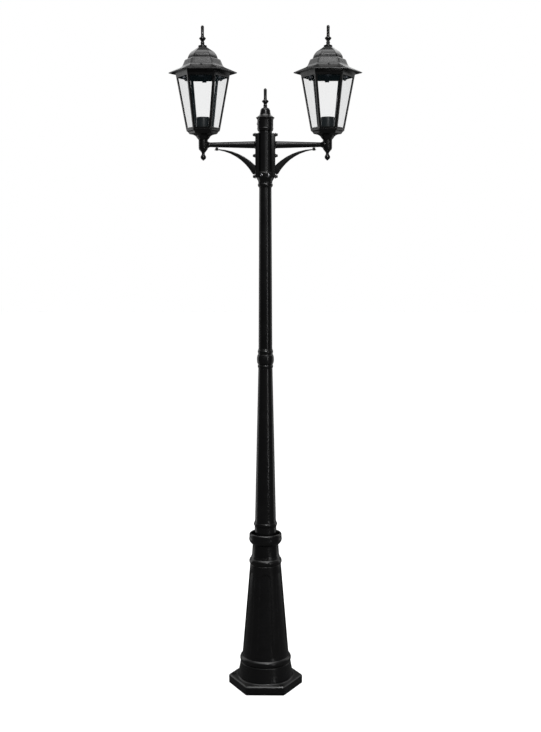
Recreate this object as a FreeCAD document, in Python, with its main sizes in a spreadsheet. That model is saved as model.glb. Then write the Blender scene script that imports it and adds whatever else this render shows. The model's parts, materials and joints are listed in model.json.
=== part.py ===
"""Street lamp post: a cast foot, a two-piece tapered post and a hub that carries two hexagonal lanterns.

Frame: millimetres, +Z up, the ground at Z = 0 under the centre of the foot.  The arms lie along X
and -Y is the front.  Every lantern is drawn about its own axis, from the top of the arm's stem.
"""
import FreeCAD, Part
import math
import os

import Sketcher

doc = FreeCAD.newDocument("street_lamp_post")
sheet = doc.addObject("Spreadsheet::Sheet", "sheet")

APOTHEM = math.sqrt(3) / 2          # apothem of a hexagon over its corner radius
BOSS_HALF_ANGLE = 24                # of the terminal block's boss, seen from the post's axis
AXIS_X = FreeCAD.Vector(1, 0, 0)
AXIS_Y = FreeCAD.Vector(0, 1, 0)
AXIS_Z = FreeCAD.Vector(0, 0, 1)

DRIVING_SIZES = {
    # --- fits ---
    "slip_gap": 0.15,               # radial gap of a tube over its spigot
    "screw_gap": 0.1,               # radial gap of a hole over its screw
    "lift_gap": 0.3,                # gap between the fixed cage and what lifts off it
    # --- foot casting ---
    "plate_radius": 126.8,          # centre to corner of the hexagonal plate
    "plate_height": 30,
    "plate_bore_radius": 86,
    "anchor_circle_radius": 108,
    "anchor_hole_radius": 5.5,
    "bell_bottom_radius": 95,
    "bell_height": 51,
    "bell_top_radius": 85.7,
    "foot_bead_radius": 87.2,
    "foot_bead_height": 23,
    "column_bottom_radius": 78.4,
    "column_top_radius": 52.5,
    "column_height": 309,
    "column_wall": 8,
    "panel_depth": 2.6,
    "panel_half_angle": 20,
    "panel_bottom_margin": 10,
    "panel_top_margin": 24,
    "crown_bead_radius": 55.2,
    "crown_bead_height": 27,
    "neck_radius": 46,
    "neck_height": 45,
    "neck_wall": 6.5,
    "collar_radius": 55.2,
    "collar_height": 36,
    "collar_mouth_radius": 48,
    "seat_height": 6,               # the shaft's seat above the root of the collar
    "floor_thickness": 26,
    # --- lower shaft ---
    "shaft_bottom_radius": 37,
    "shaft_top_radius": 23.6,
    "shaft_length": 591,
    "shaft_bead_radius": 39.5,
    "shaft_bead_rise": 61,          # bead above the seat
    "shaft_wall": 5,                # at the spigot
    "shaft_spigot_radius": 30,
    "shaft_spigot_length": 42,
    "shaft_nut_height": 12,
    "shaft_nut_land": 7.5,          # nut's corners beyond its bore
    # --- coupling between the two shafts ---
    "coupling_height": 66,
    "coupling_bead_radius": 25.7,
    "coupling_barrel_radius": 28.1,
    "coupling_neck_radius": 24.3,
    "coupling_wall": 3.6,
    "coupling_spigot_length": 42,
    "shaft_socket_radius": 19,
    # --- upper tube ---
    "tube_bottom_radius": 22.8,
    "tube_top_radius": 20.1,
    "tube_bore_radius": 17,
    "tube_length": 528.5,
    "tube_spigot_radius": 15,
    "tube_spigot_length": 52,
    "tube_spigot_wall": 3.5,
    # --- hub ---
    "hub_neck_radius": 22.8,
    "hub_ring_radius": 24.4,
    "hub_ring_height": 13,
    "hub_neck_height": 18,
    "hub_flare_height": 13,
    "hub_drum_radius": 30,
    "hub_drum_height": 18,
    "hub_column_radius": 22,
    "hub_column_height": 150,
    "hub_flat": 20.5,               # half the width across the two flats that take the arms
    "hub_cap_spigot_radius": 17.5,
    "hub_cap_spigot_height": 30,
    # --- hub cap ---
    "cap_radius": 25.8,
    "cap_bead_radius": 26.4,
    "cap_skirt_radius": 29.8,
    "cap_drum_height": 36,
    "cap_height": 72,
    "cap_top_radius": 12.6,
    "cap_wall": 3.5,
    # --- arms ---
    "reach": 202,                   # lantern axis from the post's axis
    "arm_rise": 106,                # arm axis above the foot of the hub's column
    "arm_plate_thickness": 12,
    "arm_plate_width": 34,
    "arm_plate_height": 142,
    "arm_root_radius": 11.4,
    "arm_end_radius": 7.6,
    "stem_radius": 15,
    "stem_above": 15.5,
    "stem_below": 19.5,
    "stem_wall": 4,
    "arm_screw_pitch": 67,
    "arm_screw_drop": 102,          # lowest screw below the arm's axis
    "screw_pad_radius": 6,
    "screw_pad_height": 3,
    # --- scroll braces ---
    "brace_width": 12,
    "brace_pad_inset": 44,          # pad's axis inside the lantern's
    "brace_pad_radius": 7,
    "brace_boss_radius": 4.8,
    "brace_peg_radius": 4,
    "brace_peg_length": 8,
    # --- fasteners ---
    "small_screw_radius": 2.4,
    "small_head_radius": 4.2,
    "small_head_height": 2.8,
    "plate_screw_head_height": 5.2,
    "plate_screw_head_radius": 4.4,
    "roof_head_radius": 3,
    "roof_head_height": 2.4,
    "roof_screw_radius": 1.6,
    # --- lantern ---
    "tray_neck_radius": 15.5,
    "tray_flare_radius": 32,
    "tray_flare_height": 16.5,
    "tray_ledge_radius": 45.4,
    "tray_height": 33,
    "tray_wall": 3,
    "cage_bottom_radius": 55.2,
    "cage_top_radius": 89.4,
    "cage_height": 184,
    "cage_wall": 4.5,
    "cage_sill": 5,
    "cage_header": 20,
    "cage_post_width": 6.5,
    "cage_lid_thickness": 3,
    "collar_ring_radius": 57.5,
    "collar_ring_height": 20,
    "collar_ring_wall": 3,
    "pane_thickness": 2.5,
    "pane_lap": 3.5,                # how far a pane runs past its window on every side
    "clip_width": 14,
    "clip_thickness": 0.9,
    "clip_height": 17,
    # --- roof ---
    "brim_overhang": 21.6,          # beyond the top corners of the cage
    "brim_drop": 5.5,               # lip of the brim below the roof's seat
    "brim_thickness": 2.5,
    "seat_overhang": 2.6,           # of the roof's seat beyond the same corners
    "seat_inside_knee": 4,          # its inner edge beyond the skirt's knee
    "skirt_knee_radius": 74,
    "skirt_knee_height": 12,
    "skirt_radius": 64.5,
    "skirt_root_height": 21,
    "ledge_radius": 58.3,
    "ledge_height": 35.5,
    "dome_radius": 49,
    "dome_height": 40.5,
    "dome_shoulder_radius": 29,
    "dome_shoulder_height": 67,
    "roof_wall": 3,
    "roof_top_radius": 14,
    "roof_top_height": 76.5,
    "roof_disc_height": 5,
    "roof_screw_rise": 14,
    # --- finials ---
    "finial_foot_radius": 8.8,
    "finial_ring_radius": 6.5,
    "finial_neck_radius": 5.2,
    "finial_bulge_radius": 10.8,
    "finial_rod_radius": 5.1,
    "finial_height": 63.5,
    "finial_stud_radius": 3,
    "finial_stud_length": 15,
    "finial_nut_radius": 5.8,
    "finial_nut_height": 5,
    "knob_foot_radius": 9.6,
    "knob_neck_radius": 5.1,
    "knob_radius": 9.1,
    "knob_height": 31,
    # --- lampholder ---
    "nipple_radius": 6,
    "nipple_ease": 1.5,             # radial room for the cable in the nipple
    "nipple_length": 35,
    "nipple_depth": 6,              # how far it screws down into the stem
    "nipple_nut_radius": 10,
    "nipple_nut_height": 4,
    "holder_radius": 19,
    "holder_height": 44,
    "holder_base_height": 14,
    "cover_radius": 23,
    "cover_wall": 2,
    "cover_height": 49.5,
    "shell_bore_radius": 13.3,
    "shell_wall": 0.5,
    "shell_length": 24,
    "contact_radius": 3.2,
    # --- wiring ---
    "cable_radius": 2.5,
    "cable_side": 7,                # cable from the post's axis along X
    "cable_bend": 20,
    "cable_end_bend": 15,
    "block_width": 46,
    "block_depth": 17,
    "block_height": 28,
    "block_rise": 148,
    "block_boss_face": 52,
    "terminal_radius": 2.2,
    "terminal_pitch": 14,
}


class Size:
    """A length as the spreadsheet's expression and as its present value."""

    def __init__(self, text, value):
        self.text = text
        self.value = float(value)

    def join(self, sign, other, value):
        return Size("(" + self.text + sign + size(other).text + ")", value)

    def __add__(self, other):
        return self.join(" + ", other, self.value + size(other).value)

    def __radd__(self, other):
        return size(other) + self

    def __sub__(self, other):
        return self.join(" - ", other, self.value - size(other).value)

    def __rsub__(self, other):
        return size(other) - self

    def __mul__(self, other):
        return self.join(" * ", other, self.value * size(other).value)

    def __rmul__(self, other):
        return size(other) * self

    def __truediv__(self, other):
        return self.join(" / ", other, self.value / size(other).value)

    def __neg__(self):
        return size(0) - self


def size(number):
    """Any number as a Size."""
    if isinstance(number, Size):
        return number
    return Size(format(float(number), ".9f"), number)


class DrivingSizes:
    """Writes the driving sizes to the spreadsheet and hands each out as a Size."""

    def __init__(self, values):
        for row, (alias, value) in enumerate(values.items(), start=1):
            sheet.set("A" + str(row), str(value))
            sheet.setAlias("A" + str(row), alias)
            setattr(self, alias, Size("sheet." + alias, value))


g = DrivingSizes(DRIVING_SIZES)
doc.recompute()

subparts = []


# ------------------------------------------------------------------ drawing helpers

def bind(feature, name, length):
    """Tie one property of a feature to an expression in the spreadsheet."""
    feature.setExpression(name, size(length).text)


def place(feature, x=0, y=0, z=0, turn=None):
    """Place a feature by expressions, after an optional fixed turn."""
    feature.Placement = FreeCAD.Placement(
        FreeCAD.Vector(size(x).value, size(y).value, size(z).value), turn or FreeCAD.Rotation())
    for name, length in (("x", x), ("y", y), ("z", z)):
        bind(feature, ".Placement.Base." + name, length)


def turn_about_z(degrees):
    return FreeCAD.Rotation(AXIS_Z, degrees)


def finish(feature, label):
    """Give a sub-part its name and list it for export."""
    feature.Label = label
    subparts.append(feature)
    return feature


def start_body(name):
    return doc.addObject("PartDesign::Body", name + "_body")


def plane_of(body, role):
    return next(f for f in body.Origin.OriginFeatures if f.Role == role)


def pin_point(sketch, geometry, end, point):
    """Fix one sketch point at its two expressions."""
    for kind, axis, length in (("DistanceX", -2, point[0]), ("DistanceY", -1, point[1])):
        if size(length).value == 0:
            sketch.addConstraint(Sketcher.Constraint("PointOnObject", geometry, end, axis))
            continue
        index = sketch.addConstraint(
            Sketcher.Constraint(kind, -1, 1, geometry, end, size(length).value))
        bind(sketch, "Constraints[" + str(index) + "]", length)


def vector(point):
    return FreeCAD.Vector(size(point[0]).value, size(point[1]).value, 0)


def draw(sketch, outline):
    """Close an outline of (x, y) corners; ("arc", via, end) bends the way to its end through via."""
    corners = [item[2] if item[0] == "arc" else item for item in outline]
    count = len(outline)
    edges = []
    for index, item in enumerate(outline):
        start = corners[index - 1]
        if item[0] == "arc":
            curve = Part.Arc(vector(start), vector(item[1]), vector(item[2]))
            middle = vector(item[1])
            ahead = vector(item[2]) - vector(start)
            aside = middle - vector(start)
            turns_left = ahead.x * aside.y - ahead.y * aside.x < 0
            edges.append((sketch.addGeometry(curve), turns_left, item[1]))
        else:
            line = Part.LineSegment(vector(start), vector(item))
            edges.append((sketch.addGeometry(line), True, None))
    for index, (edge, turns_left, via) in enumerate(edges):
        following, next_left, _ = edges[(index + 1) % count]
        last = 2 if turns_left else 1
        first = 1 if next_left else 2
        sketch.addConstraint(Sketcher.Constraint("Coincident", edge, last, following, first))
        pin_point(sketch, edge, last, corners[index])
        if via is not None:
            point = sketch.addGeometry(Part.Point(vector(via)), True)
            pin_point(sketch, point, 1, via)
            sketch.addConstraint(Sketcher.Constraint("PointOnObject", point, 1, edge))


def draw_circle(sketch, radius, x=0, y=0):
    circle = sketch.addGeometry(Part.Circle(vector((x, y)), AXIS_Z, size(radius).value))
    index = sketch.addConstraint(Sketcher.Constraint("Radius", circle, size(radius).value))
    bind(sketch, "Constraints[" + str(index) + "]", radius)
    pin_point(sketch, circle, 3, (x, y))


def sketch_on(body, role, offset=0, turn=None):
    """A sketch on an origin plane of the body, moved along the plane's normal by offset."""
    sketch = body.newObject("Sketcher::SketchObject", body.Name + "_sketch")
    sketch.AttachmentSupport = [(plane_of(body, role), "")]
    sketch.MapMode = "FlatFace"
    sketch.AttachmentOffset = FreeCAD.Placement(
        FreeCAD.Vector(0, 0, size(offset).value), turn or FreeCAD.Rotation())
    bind(sketch, ".AttachmentOffset.Base.z", offset)
    return sketch


def pad(body, sketch, length, midplane=False, reverse=False):
    feature = body.newObject("PartDesign::Pad", body.Name + "_pad")
    feature.Profile = sketch
    bind(feature, "Length", length)
    if midplane:
        feature.SideType = "Symmetric"
    feature.Reversed = reverse
    return feature


def pocket(body, sketch, length, midplane=False, reverse=False):
    feature = body.newObject("PartDesign::Pocket", body.Name + "_pocket")
    feature.Profile = sketch
    bind(feature, "Length", length)
    if midplane:
        feature.SideType = "Symmetric"
    feature.Reversed = reverse
    return feature


def revolve(body, outline, axis="V_Axis", cut=False, role="XZ_Plane"):
    """Turn an outline about a sketch axis, adding to the body or cutting it."""
    sketch = sketch_on(body, role)
    draw(sketch, outline)
    kind = "PartDesign::Groove" if cut else "PartDesign::Revolution"
    feature = body.newObject(kind, body.Name + ("_groove" if cut else "_turning"))
    feature.Profile = sketch
    feature.ReferenceAxis = (sketch, [axis])
    feature.Angle = 360
    return feature


def polar(body, features, count):
    pattern = body.newObject("PartDesign::PolarPattern", body.Name + "_pattern")
    pattern.Originals = features
    pattern.Axis = (next(f for f in body.Origin.OriginFeatures if f.Role == "Z_Axis"), [""])
    pattern.Angle = 360
    pattern.Occurrences = count
    body.Tip = pattern
    return pattern


def hexagon(radius):
    """Corners of a hexagon with two of them on the X axis."""
    radius = size(radius)
    half = radius / 2
    side = radius * APOTHEM
    return [(radius, 0), (half, side), (-half, side), (-radius, 0), (-half, -side), (half, -side)]


def hex_loft(body, levels, cut=False):
    """A straight-sided hexagonal loft through (height, corner radius) levels."""
    sketches = []
    for height, radius in levels:
        sketch = sketch_on(body, "XY_Plane", height)
        draw(sketch, hexagon(radius))
        sketches.append(sketch)
    kind = "PartDesign::SubtractiveLoft" if cut else "PartDesign::AdditiveLoft"
    loft = body.newObject(kind, body.Name + "_loft")
    loft.Profile = sketches[0]
    loft.Sections = sketches[1:]
    loft.Ruled = True
    return loft


def rectangle(left, right, low, high):
    return [(left, low), (right, low), (right, high), (left, high)]


def ring(inner, outer, low, high):
    """Outline of a plain ring in a half plane, or of a disc when inner is 0."""
    return rectangle(inner, outer, low, high)


def group(label, features):
    """Identical pieces that share one sub-part, each a solid of its own."""
    compound = doc.addObject("Part::Compound", label + "_group")
    compound.Links = features
    return finish(compound, label)


def screw(name, head_radius, head_height, shank_radius, shank_length):
    """A socket screw along +Z with the underside of its head at 0."""
    body = start_body(name)
    edge = size(head_height) * 0.3
    revolve(body, [(0, -shank_length), (shank_radius, -shank_length), (shank_radius, 0),
                   (head_radius, 0), (head_radius, head_height - edge),
                   (size(head_radius) - edge, head_height), (0, head_height)])
    socket = sketch_on(body, "XY_Plane", head_height)
    draw(socket, hexagon(size(head_radius) * 0.5))
    pocket(body, socket, size(head_height) * 0.55)
    return body


def grub_screw(name, radius, length):
    """A headless screw along +Z whose outer end, with its socket, is at 0."""
    body = start_body(name)
    tip = size(radius) * 0.4
    revolve(body, [(0, -length), (size(radius) - tip, -length), (radius, tip - length),
                   (radius, 0), (0, 0)])
    socket = sketch_on(body, "XY_Plane")
    draw(socket, hexagon(size(radius) * 0.55))
    pocket(body, socket, size(radius))
    return body


def outward(degrees):
    """Turn +Z to the horizontal direction at this bearing from +X."""
    return FreeCAD.Rotation(AXIS_Z, degrees) * FreeCAD.Rotation(AXIS_Y, 90)


# ------------------------------------------------------------------ heights of the post

bell_top = g.plate_height + g.bell_height
column_foot = bell_top + g.foot_bead_height + 9
column_top = column_foot + g.column_height
neck_foot = column_top + g.crown_bead_height
neck_top = neck_foot + g.neck_height
seat = neck_top + g.seat_height
collar_top = neck_top + g.collar_height
floor_under = seat - g.floor_thickness
shaft_top = seat + g.shaft_length
coupling_top = shaft_top + g.coupling_height
tube_top = coupling_top + g.tube_length
hub_foot = tube_top
flare_foot = hub_foot + g.hub_neck_height
drum_foot = flare_foot + g.hub_flare_height
hub_top = drum_foot + g.hub_column_height
arm_height = drum_foot + g.arm_rise
lantern_foot = arm_height + g.stem_above
plate_face = g.hub_flat + g.arm_plate_thickness

# ------------------------------------------------------------------ sizes that follow others

shaft_bore_radius = g.shaft_spigot_radius - g.shaft_wall
shaft_nut_radius = g.shaft_spigot_radius + g.shaft_nut_land
brace_pad_reach = g.reach - g.brace_pad_inset
cable_offset = g.cable_radius + g.slip_gap          # of each cable from the plane of the arms
arm_bore_radius = g.cable_radius * 2 + 0.5          # the cable enters it off centre by cable_offset
nipple_bore_radius = g.cable_radius + g.nipple_ease
brim_radius = g.cage_top_radius + g.brim_overhang
seat_outer_radius = g.cage_top_radius + g.seat_overhang
seat_inner_radius = g.skirt_knee_radius + g.seat_inside_knee


def foot_casting():
    """Hollow foot: hexagonal plate, bell, panelled column, neck and open collar in one casting."""
    body = start_body("base_casting")
    plate = sketch_on(body, "XY_Plane")
    draw(plate, hexagon(g.plate_radius))
    pad(body, plate, g.plate_height - 4)
    hex_loft(body, [(g.plate_height - 4, g.plate_radius), (g.plate_height, g.plate_radius - 4)])
    middle = bell_top + g.foot_bead_height / 2
    crown = column_top + g.crown_bead_height / 2
    bowl = neck_top + g.collar_height
    lip = 3
    revolve(body, [
        (0, g.plate_height - 5),
        (g.bell_bottom_radius, g.plate_height - 5),
        (g.bell_bottom_radius, g.plate_height + 3),
        ("arc", (g.bell_bottom_radius - 4.6, g.plate_height + 24),
         (g.bell_top_radius, bell_top - 3)),
        (g.bell_top_radius, bell_top),
        ("arc", (g.foot_bead_radius, middle - 1.5), (g.bell_top_radius - 1.5, middle + 10)),
        ("arc", (g.column_bottom_radius + 2.4, column_foot - 4.5),
         (g.column_bottom_radius, column_foot + 2)),
        (g.column_top_radius, column_top),
        ("arc", (g.crown_bead_radius, crown), (g.neck_radius + 1.2, neck_foot + 2)),
        (g.neck_radius, neck_foot + 6),
        (g.neck_radius - 2.4, neck_top - 3),
        ("arc", (g.collar_radius - 3.2, neck_top + 9), (g.collar_radius, neck_top + 21)),
        (g.collar_radius - 0.7, bowl - 8),
        ("arc", (g.collar_radius - 1.6, bowl - 2.5), (g.collar_radius - lip - 1.2, bowl)),
        ("arc", (g.collar_mouth_radius + 0.7, bowl - 0.9), (g.collar_mouth_radius, bowl - lip)),
        (g.collar_mouth_radius, seat + 8),
        ("arc", (g.collar_mouth_radius - 2.4, seat + 2.4), (g.collar_mouth_radius - 8, seat)),
        (0, seat),
    ])
    wall = g.column_wall
    revolve(body, [
        (0, -1),
        (g.plate_bore_radius, -1),
        (g.plate_bore_radius, g.plate_height),
        (g.bell_top_radius - wall, bell_top),
        (g.column_bottom_radius - wall - 1, column_foot),
        (g.column_top_radius - wall + 1, column_top - 6),
        (g.neck_radius - g.neck_wall - 0.6, neck_foot),
        (g.neck_radius - g.neck_wall - 0.6, floor_under),
        (g.shaft_spigot_radius + g.slip_gap, floor_under),
        (g.shaft_spigot_radius + g.slip_gap, seat + 1),
        (0, seat + 1),
    ], cut=True)
    boss = sketch_on(body, "XY_Plane", g.block_rise - 8)
    back = g.column_bottom_radius - wall - 2.2
    half = back * math.sin(math.radians(BOSS_HALF_ANGLE))
    corner = back * math.cos(math.radians(BOSS_HALF_ANGLE))
    draw(boss, [(-half, g.block_boss_face), (half, g.block_boss_face), (half, corner),
                ("arc", (0, back), (-half, corner))])
    pad(body, boss, g.block_height + 30)
    anchor = sketch_on(body, "XY_Plane")
    draw_circle(anchor, g.anchor_hole_radius, -g.anchor_circle_radius)
    holes = pocket(body, anchor, g.plate_height + 1, reverse=True)
    polar(body, [holes], 3)
    for x, z, radius in block_fixings():
        hole = sketch_on(body, "XZ_Plane", -g.block_boss_face)
        draw_circle(hole, radius + g.screw_gap, x, z)
        body.Tip = pocket(body, hole, 9, reverse=False)
    return finish_panels(body)


def block_fixings():
    """(x, z, screw radius) of the two terminal block screws and of the earth screw."""
    middle = g.block_rise + g.block_height / 2
    return [(-20, middle, g.small_screw_radius),
            (20, middle, g.small_screw_radius),
            (0, g.block_rise + g.block_height + 14, g.small_screw_radius)]


def finish_panels(body):
    """Sink six arch-topped panels into the column, each the same depth all over."""
    low = column_foot + g.panel_bottom_margin
    high = column_top - g.panel_top_margin
    share = math.sin(math.radians(DRIVING_SIZES["panel_half_angle"]))
    bottom = g.column_bottom_radius * share
    top = (g.column_top_radius + 4) * share
    spring = high - top
    prisms = []
    outline = doc.addObject("Sketcher::SketchObject", "panel_outline")
    outline.Placement = FreeCAD.Placement(FreeCAD.Vector(), FreeCAD.Rotation(AXIS_X, 90))
    draw(outline, [(-bottom, low), (bottom, low), (top, spring),
                   ("arc", (0, high), (-top, spring))])
    for index in range(6):
        prism = doc.addObject("Part::Extrusion", "panel_prism_" + str(index))
        prism.Base = outline
        prism.DirMode = "Custom"
        prism.Dir = -AXIS_Y
        bind(prism, "LengthFwd", g.column_bottom_radius + 20)
        prism.Solid = True
        prism.Placement = FreeCAD.Placement(FreeCAD.Vector(), turn_about_z(60 * index))
        prisms.append(prism)
    prism_set = doc.addObject("Part::Compound", "panel_prisms")
    prism_set.Links = prisms
    outside = doc.addObject("Part::Cone", "panel_outside")
    inside = doc.addObject("Part::Cone", "panel_inside")
    for cone, extra in ((outside, size(12)), (inside, -g.panel_depth)):
        bind(cone, "Radius1", g.column_bottom_radius + extra)
        bind(cone, "Radius2", g.column_top_radius + extra)
        bind(cone, "Height", g.column_height - 2)
        place(cone, z=column_foot + 2)
    zone = doc.addObject("Part::Cut", "panel_zone")
    zone.Base = outside
    zone.Tool = inside
    cutter = doc.addObject("Part::Common", "panel_cutter")
    cutter.Base = prism_set
    cutter.Tool = zone
    casting = doc.addObject("Part::Cut", "base_casting_cut")
    casting.Base = body
    casting.Tool = cutter
    return finish(casting, "base_casting")


def lower_shaft():
    """Tapered shaft with a bead over the collar and a spigot through the neck's floor."""
    body = start_body("lower_shaft")
    bead = seat + g.shaft_bead_rise
    cone_foot = bead + 16
    spigot_end = seat - g.shaft_spigot_length
    radius = g.shaft_bottom_radius
    revolve(body, [
        (0, spigot_end),
        (g.shaft_spigot_radius, spigot_end),
        (g.shaft_spigot_radius, seat),
        (radius, seat),
        (radius - 0.2, bead - 11),
        ("arc", (radius - 0.1, bead - 8), (radius + 0.6, bead - 6)),
        ("arc", (g.shaft_bead_radius, bead), (radius + 0.3, bead + 6)),
        ("arc", (radius - 1.1, bead + 12), (radius - 1.7, cone_foot + 8)),
        (g.shaft_top_radius, shaft_top),
        (0, shaft_top),
    ])
    socket_foot = shaft_top - g.coupling_spigot_length - 4
    revolve(body, [
        (0, spigot_end - 1),
        (shaft_bore_radius, spigot_end - 1),
        (shaft_bore_radius, bead + 20),
        (g.shaft_socket_radius, socket_foot),
        (g.shaft_socket_radius, shaft_top + 1),
        (0, shaft_top + 1),
    ], cut=True)
    finish(body, "lower_shaft")


def shaft_nut():
    """Hexagonal ring nut that draws the shaft down on the seat."""
    body = start_body("shaft_nut")
    outline = sketch_on(body, "XY_Plane", floor_under - g.shaft_nut_height)
    draw(outline, hexagon(shaft_nut_radius))
    pad(body, outline, g.shaft_nut_height)
    bore = sketch_on(body, "XY_Plane", floor_under)
    draw_circle(bore, g.shaft_spigot_radius + g.screw_gap)
    pocket(body, bore, g.shaft_nut_height + 1)
    finish(body, "shaft_nut")


def mid_coupling():
    """Bead, barrel and bead between the shafts, with a spigot into each."""
    body = start_body("mid_coupling")
    neck = g.coupling_neck_radius
    lower = shaft_top + 6
    barrel = shaft_top + 31
    upper = coupling_top - 10
    lower_spigot = g.shaft_socket_radius - g.slip_gap
    upper_spigot = g.tube_bore_radius - g.slip_gap
    revolve(body, [
        (0, shaft_top - g.coupling_spigot_length),
        (lower_spigot, shaft_top - g.coupling_spigot_length),
        (lower_spigot, shaft_top),
        (g.shaft_top_radius, shaft_top),
        (neck - 0.2, lower - 4),
        ("arc", (g.coupling_bead_radius, lower), (neck, lower + 5)),
        (neck, barrel - 17),
        (g.coupling_barrel_radius - 2, barrel - 16),
        ("arc", (g.coupling_barrel_radius + 0.2, barrel), (g.coupling_barrel_radius - 2, barrel + 14)),
        (neck, barrel + 15),
        (neck, upper - 5),
        ("arc", (g.coupling_bead_radius, upper), (neck - 0.3, upper + 5)),
        (g.tube_bottom_radius, coupling_top),
        (upper_spigot, coupling_top),
        (upper_spigot, coupling_top + g.coupling_spigot_length),
        (0, coupling_top + g.coupling_spigot_length),
    ])
    bore = upper_spigot - g.coupling_wall
    revolve(body, [
        (0, shaft_top - g.coupling_spigot_length - 1),
        (bore, shaft_top - g.coupling_spigot_length - 1),
        (bore, coupling_top + g.coupling_spigot_length + 1),
        (0, coupling_top + g.coupling_spigot_length + 1),
    ], cut=True)
    finish(body, "mid_coupling")


def radial_hole(body, radius, start, height, bearing, length):
    """Bore a round hole along a bearing, inwards from the distance start to start - length."""
    sketch = sketch_on(body, "YZ_Plane")
    sketch.AttachmentOffset = FreeCAD.Placement(
        FreeCAD.Vector(), FreeCAD.Rotation(AXIS_Y, bearing))
    draw_circle(sketch, radius, 0, height)
    sketch.setExpression(".AttachmentOffset.Base.x", (size(start) * math.sin(math.radians(bearing))).text)
    sketch.setExpression(".AttachmentOffset.Base.z", (size(start) * math.cos(math.radians(bearing))).text)
    return pocket(body, sketch, length)


coupling_screw_rise = 22
coupling_screw_bearing = -67


def upper_tube():
    """Slightly tapered tube over the coupling's spigot, shouldered under the hub."""
    body = start_body("upper_tube")
    spigot_top = tube_top + g.tube_spigot_length
    revolve(body, [
        (0, coupling_top),
        (g.tube_bottom_radius, coupling_top),
        (g.tube_top_radius, tube_top),
        (g.tube_spigot_radius, tube_top),
        (g.tube_spigot_radius, spigot_top),
        (0, spigot_top),
    ])
    throat = g.tube_spigot_radius - g.tube_spigot_wall
    revolve(body, [
        (0, coupling_top - 1),
        (g.tube_bore_radius, coupling_top - 1),
        (g.tube_bore_radius, tube_top - 12),
        (throat, tube_top - 6),
        (throat, spigot_top + 1),
        (0, spigot_top + 1),
    ], cut=True)
    radial_hole(body, g.small_screw_radius + g.screw_gap, g.tube_bottom_radius + 2,
                coupling_top + coupling_screw_rise, coupling_screw_bearing, 8)
    finish(body, "upper_tube")


def radial_place(feature, distance, height, bearing):
    """Stand a screw drawn along +Z on a bearing, pointing outwards."""
    angle = math.radians(bearing)
    place(feature, size(distance) * math.cos(angle), size(distance) * math.sin(angle), height,
          outward(bearing))


def coupling_screw():
    length = g.tube_bottom_radius - g.tube_bore_radius + 0.6
    body = grub_screw("coupling_screw", g.small_screw_radius, length)
    radial_place(body, g.tube_bottom_radius + 0.7, coupling_top + coupling_screw_rise,
                 coupling_screw_bearing)
    finish(body, "coupling_screw")


hub_screw_bearings = (-67, -113, 67, 113)
hub_screw_rise = 7


def hub():
    """Hub casting: ringed neck, flared drum, column with two flats and a spigot for the cap."""
    body = start_body("hub")
    ring_middle = hub_foot + g.hub_ring_height / 2
    revolve(body, [
        (0, hub_foot),
        (g.tube_top_radius + 0.6, hub_foot),
        ("arc", (g.hub_ring_radius, ring_middle), (g.hub_neck_radius, hub_foot + g.hub_ring_height)),
        (g.hub_neck_radius, flare_foot),
        ("arc", (g.hub_neck_radius + 3, flare_foot + 7), (g.hub_drum_radius, drum_foot)),
        (g.hub_drum_radius, drum_foot + g.hub_drum_height - 5),
        ("arc", (g.hub_drum_radius - 1.2, drum_foot + g.hub_drum_height - 1.2),
         (g.hub_drum_radius - 5, drum_foot + g.hub_drum_height)),
        (g.hub_column_radius, drum_foot + g.hub_drum_height + 1),
        (g.hub_column_radius, hub_top),
        (g.hub_cap_spigot_radius, hub_top),
        (g.hub_cap_spigot_radius, hub_top + g.hub_cap_spigot_height),
        (0, hub_top + g.hub_cap_spigot_height),
    ])
    bore = g.tube_spigot_radius + g.slip_gap
    revolve(body, [
        (0, hub_foot - 1),
        (bore, hub_foot - 1),
        (bore, hub_top - 8),
        (g.hub_cap_spigot_radius - 4, hub_top - 4),
        (g.hub_cap_spigot_radius - 4, hub_top + g.hub_cap_spigot_height + 1),
        (0, hub_top + g.hub_cap_spigot_height + 1),
    ], cut=True)
    for side in (-1, 1):
        flat = sketch_on(body, "XZ_Plane")
        edges = (side * g.hub_flat, side * (g.hub_drum_radius + 6))
        left, right = sorted(edges, key=lambda edge: edge.value)
        draw(flat, rectangle(left, right, drum_foot, drum_foot + g.arm_plate_height))
        pocket(body, flat, 80, midplane=True)
    way = sketch_on(body, "YZ_Plane")
    draw_circle(way, arm_bore_radius, 0, arm_height)
    pocket(body, way, 80, midplane=True)
    for z in arm_screw_heights():
        hole = sketch_on(body, "YZ_Plane")
        draw_circle(hole, g.small_screw_radius + g.screw_gap, 0, z)
        pocket(body, hole, 80, midplane=True)
    for bearing in hub_screw_bearings:
        radial_hole(body, g.small_screw_radius + g.screw_gap, g.hub_drum_radius + 2,
                    drum_foot + hub_screw_rise, bearing, 22)
    finish(body, "hub")


def arm_screw_heights():
    lowest = arm_height - g.arm_screw_drop
    return [lowest, lowest + g.arm_screw_pitch, lowest + 2 * g.arm_screw_pitch]


def hub_screws():
    """Screws through the drum that bite on the tube's spigot."""
    length = g.hub_drum_radius - g.tube_spigot_radius - 0.1
    pieces = []
    for index, bearing in enumerate(hub_screw_bearings):
        body = screw("hub_screw_" + str(index), g.small_head_radius, g.small_head_height,
                     g.small_screw_radius, length)
        radial_place(body, g.hub_drum_radius, drum_foot + hub_screw_rise, bearing)
        pieces.append(body)
    group("hub_screws", pieces)


cap_screw_rise = 23


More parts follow.
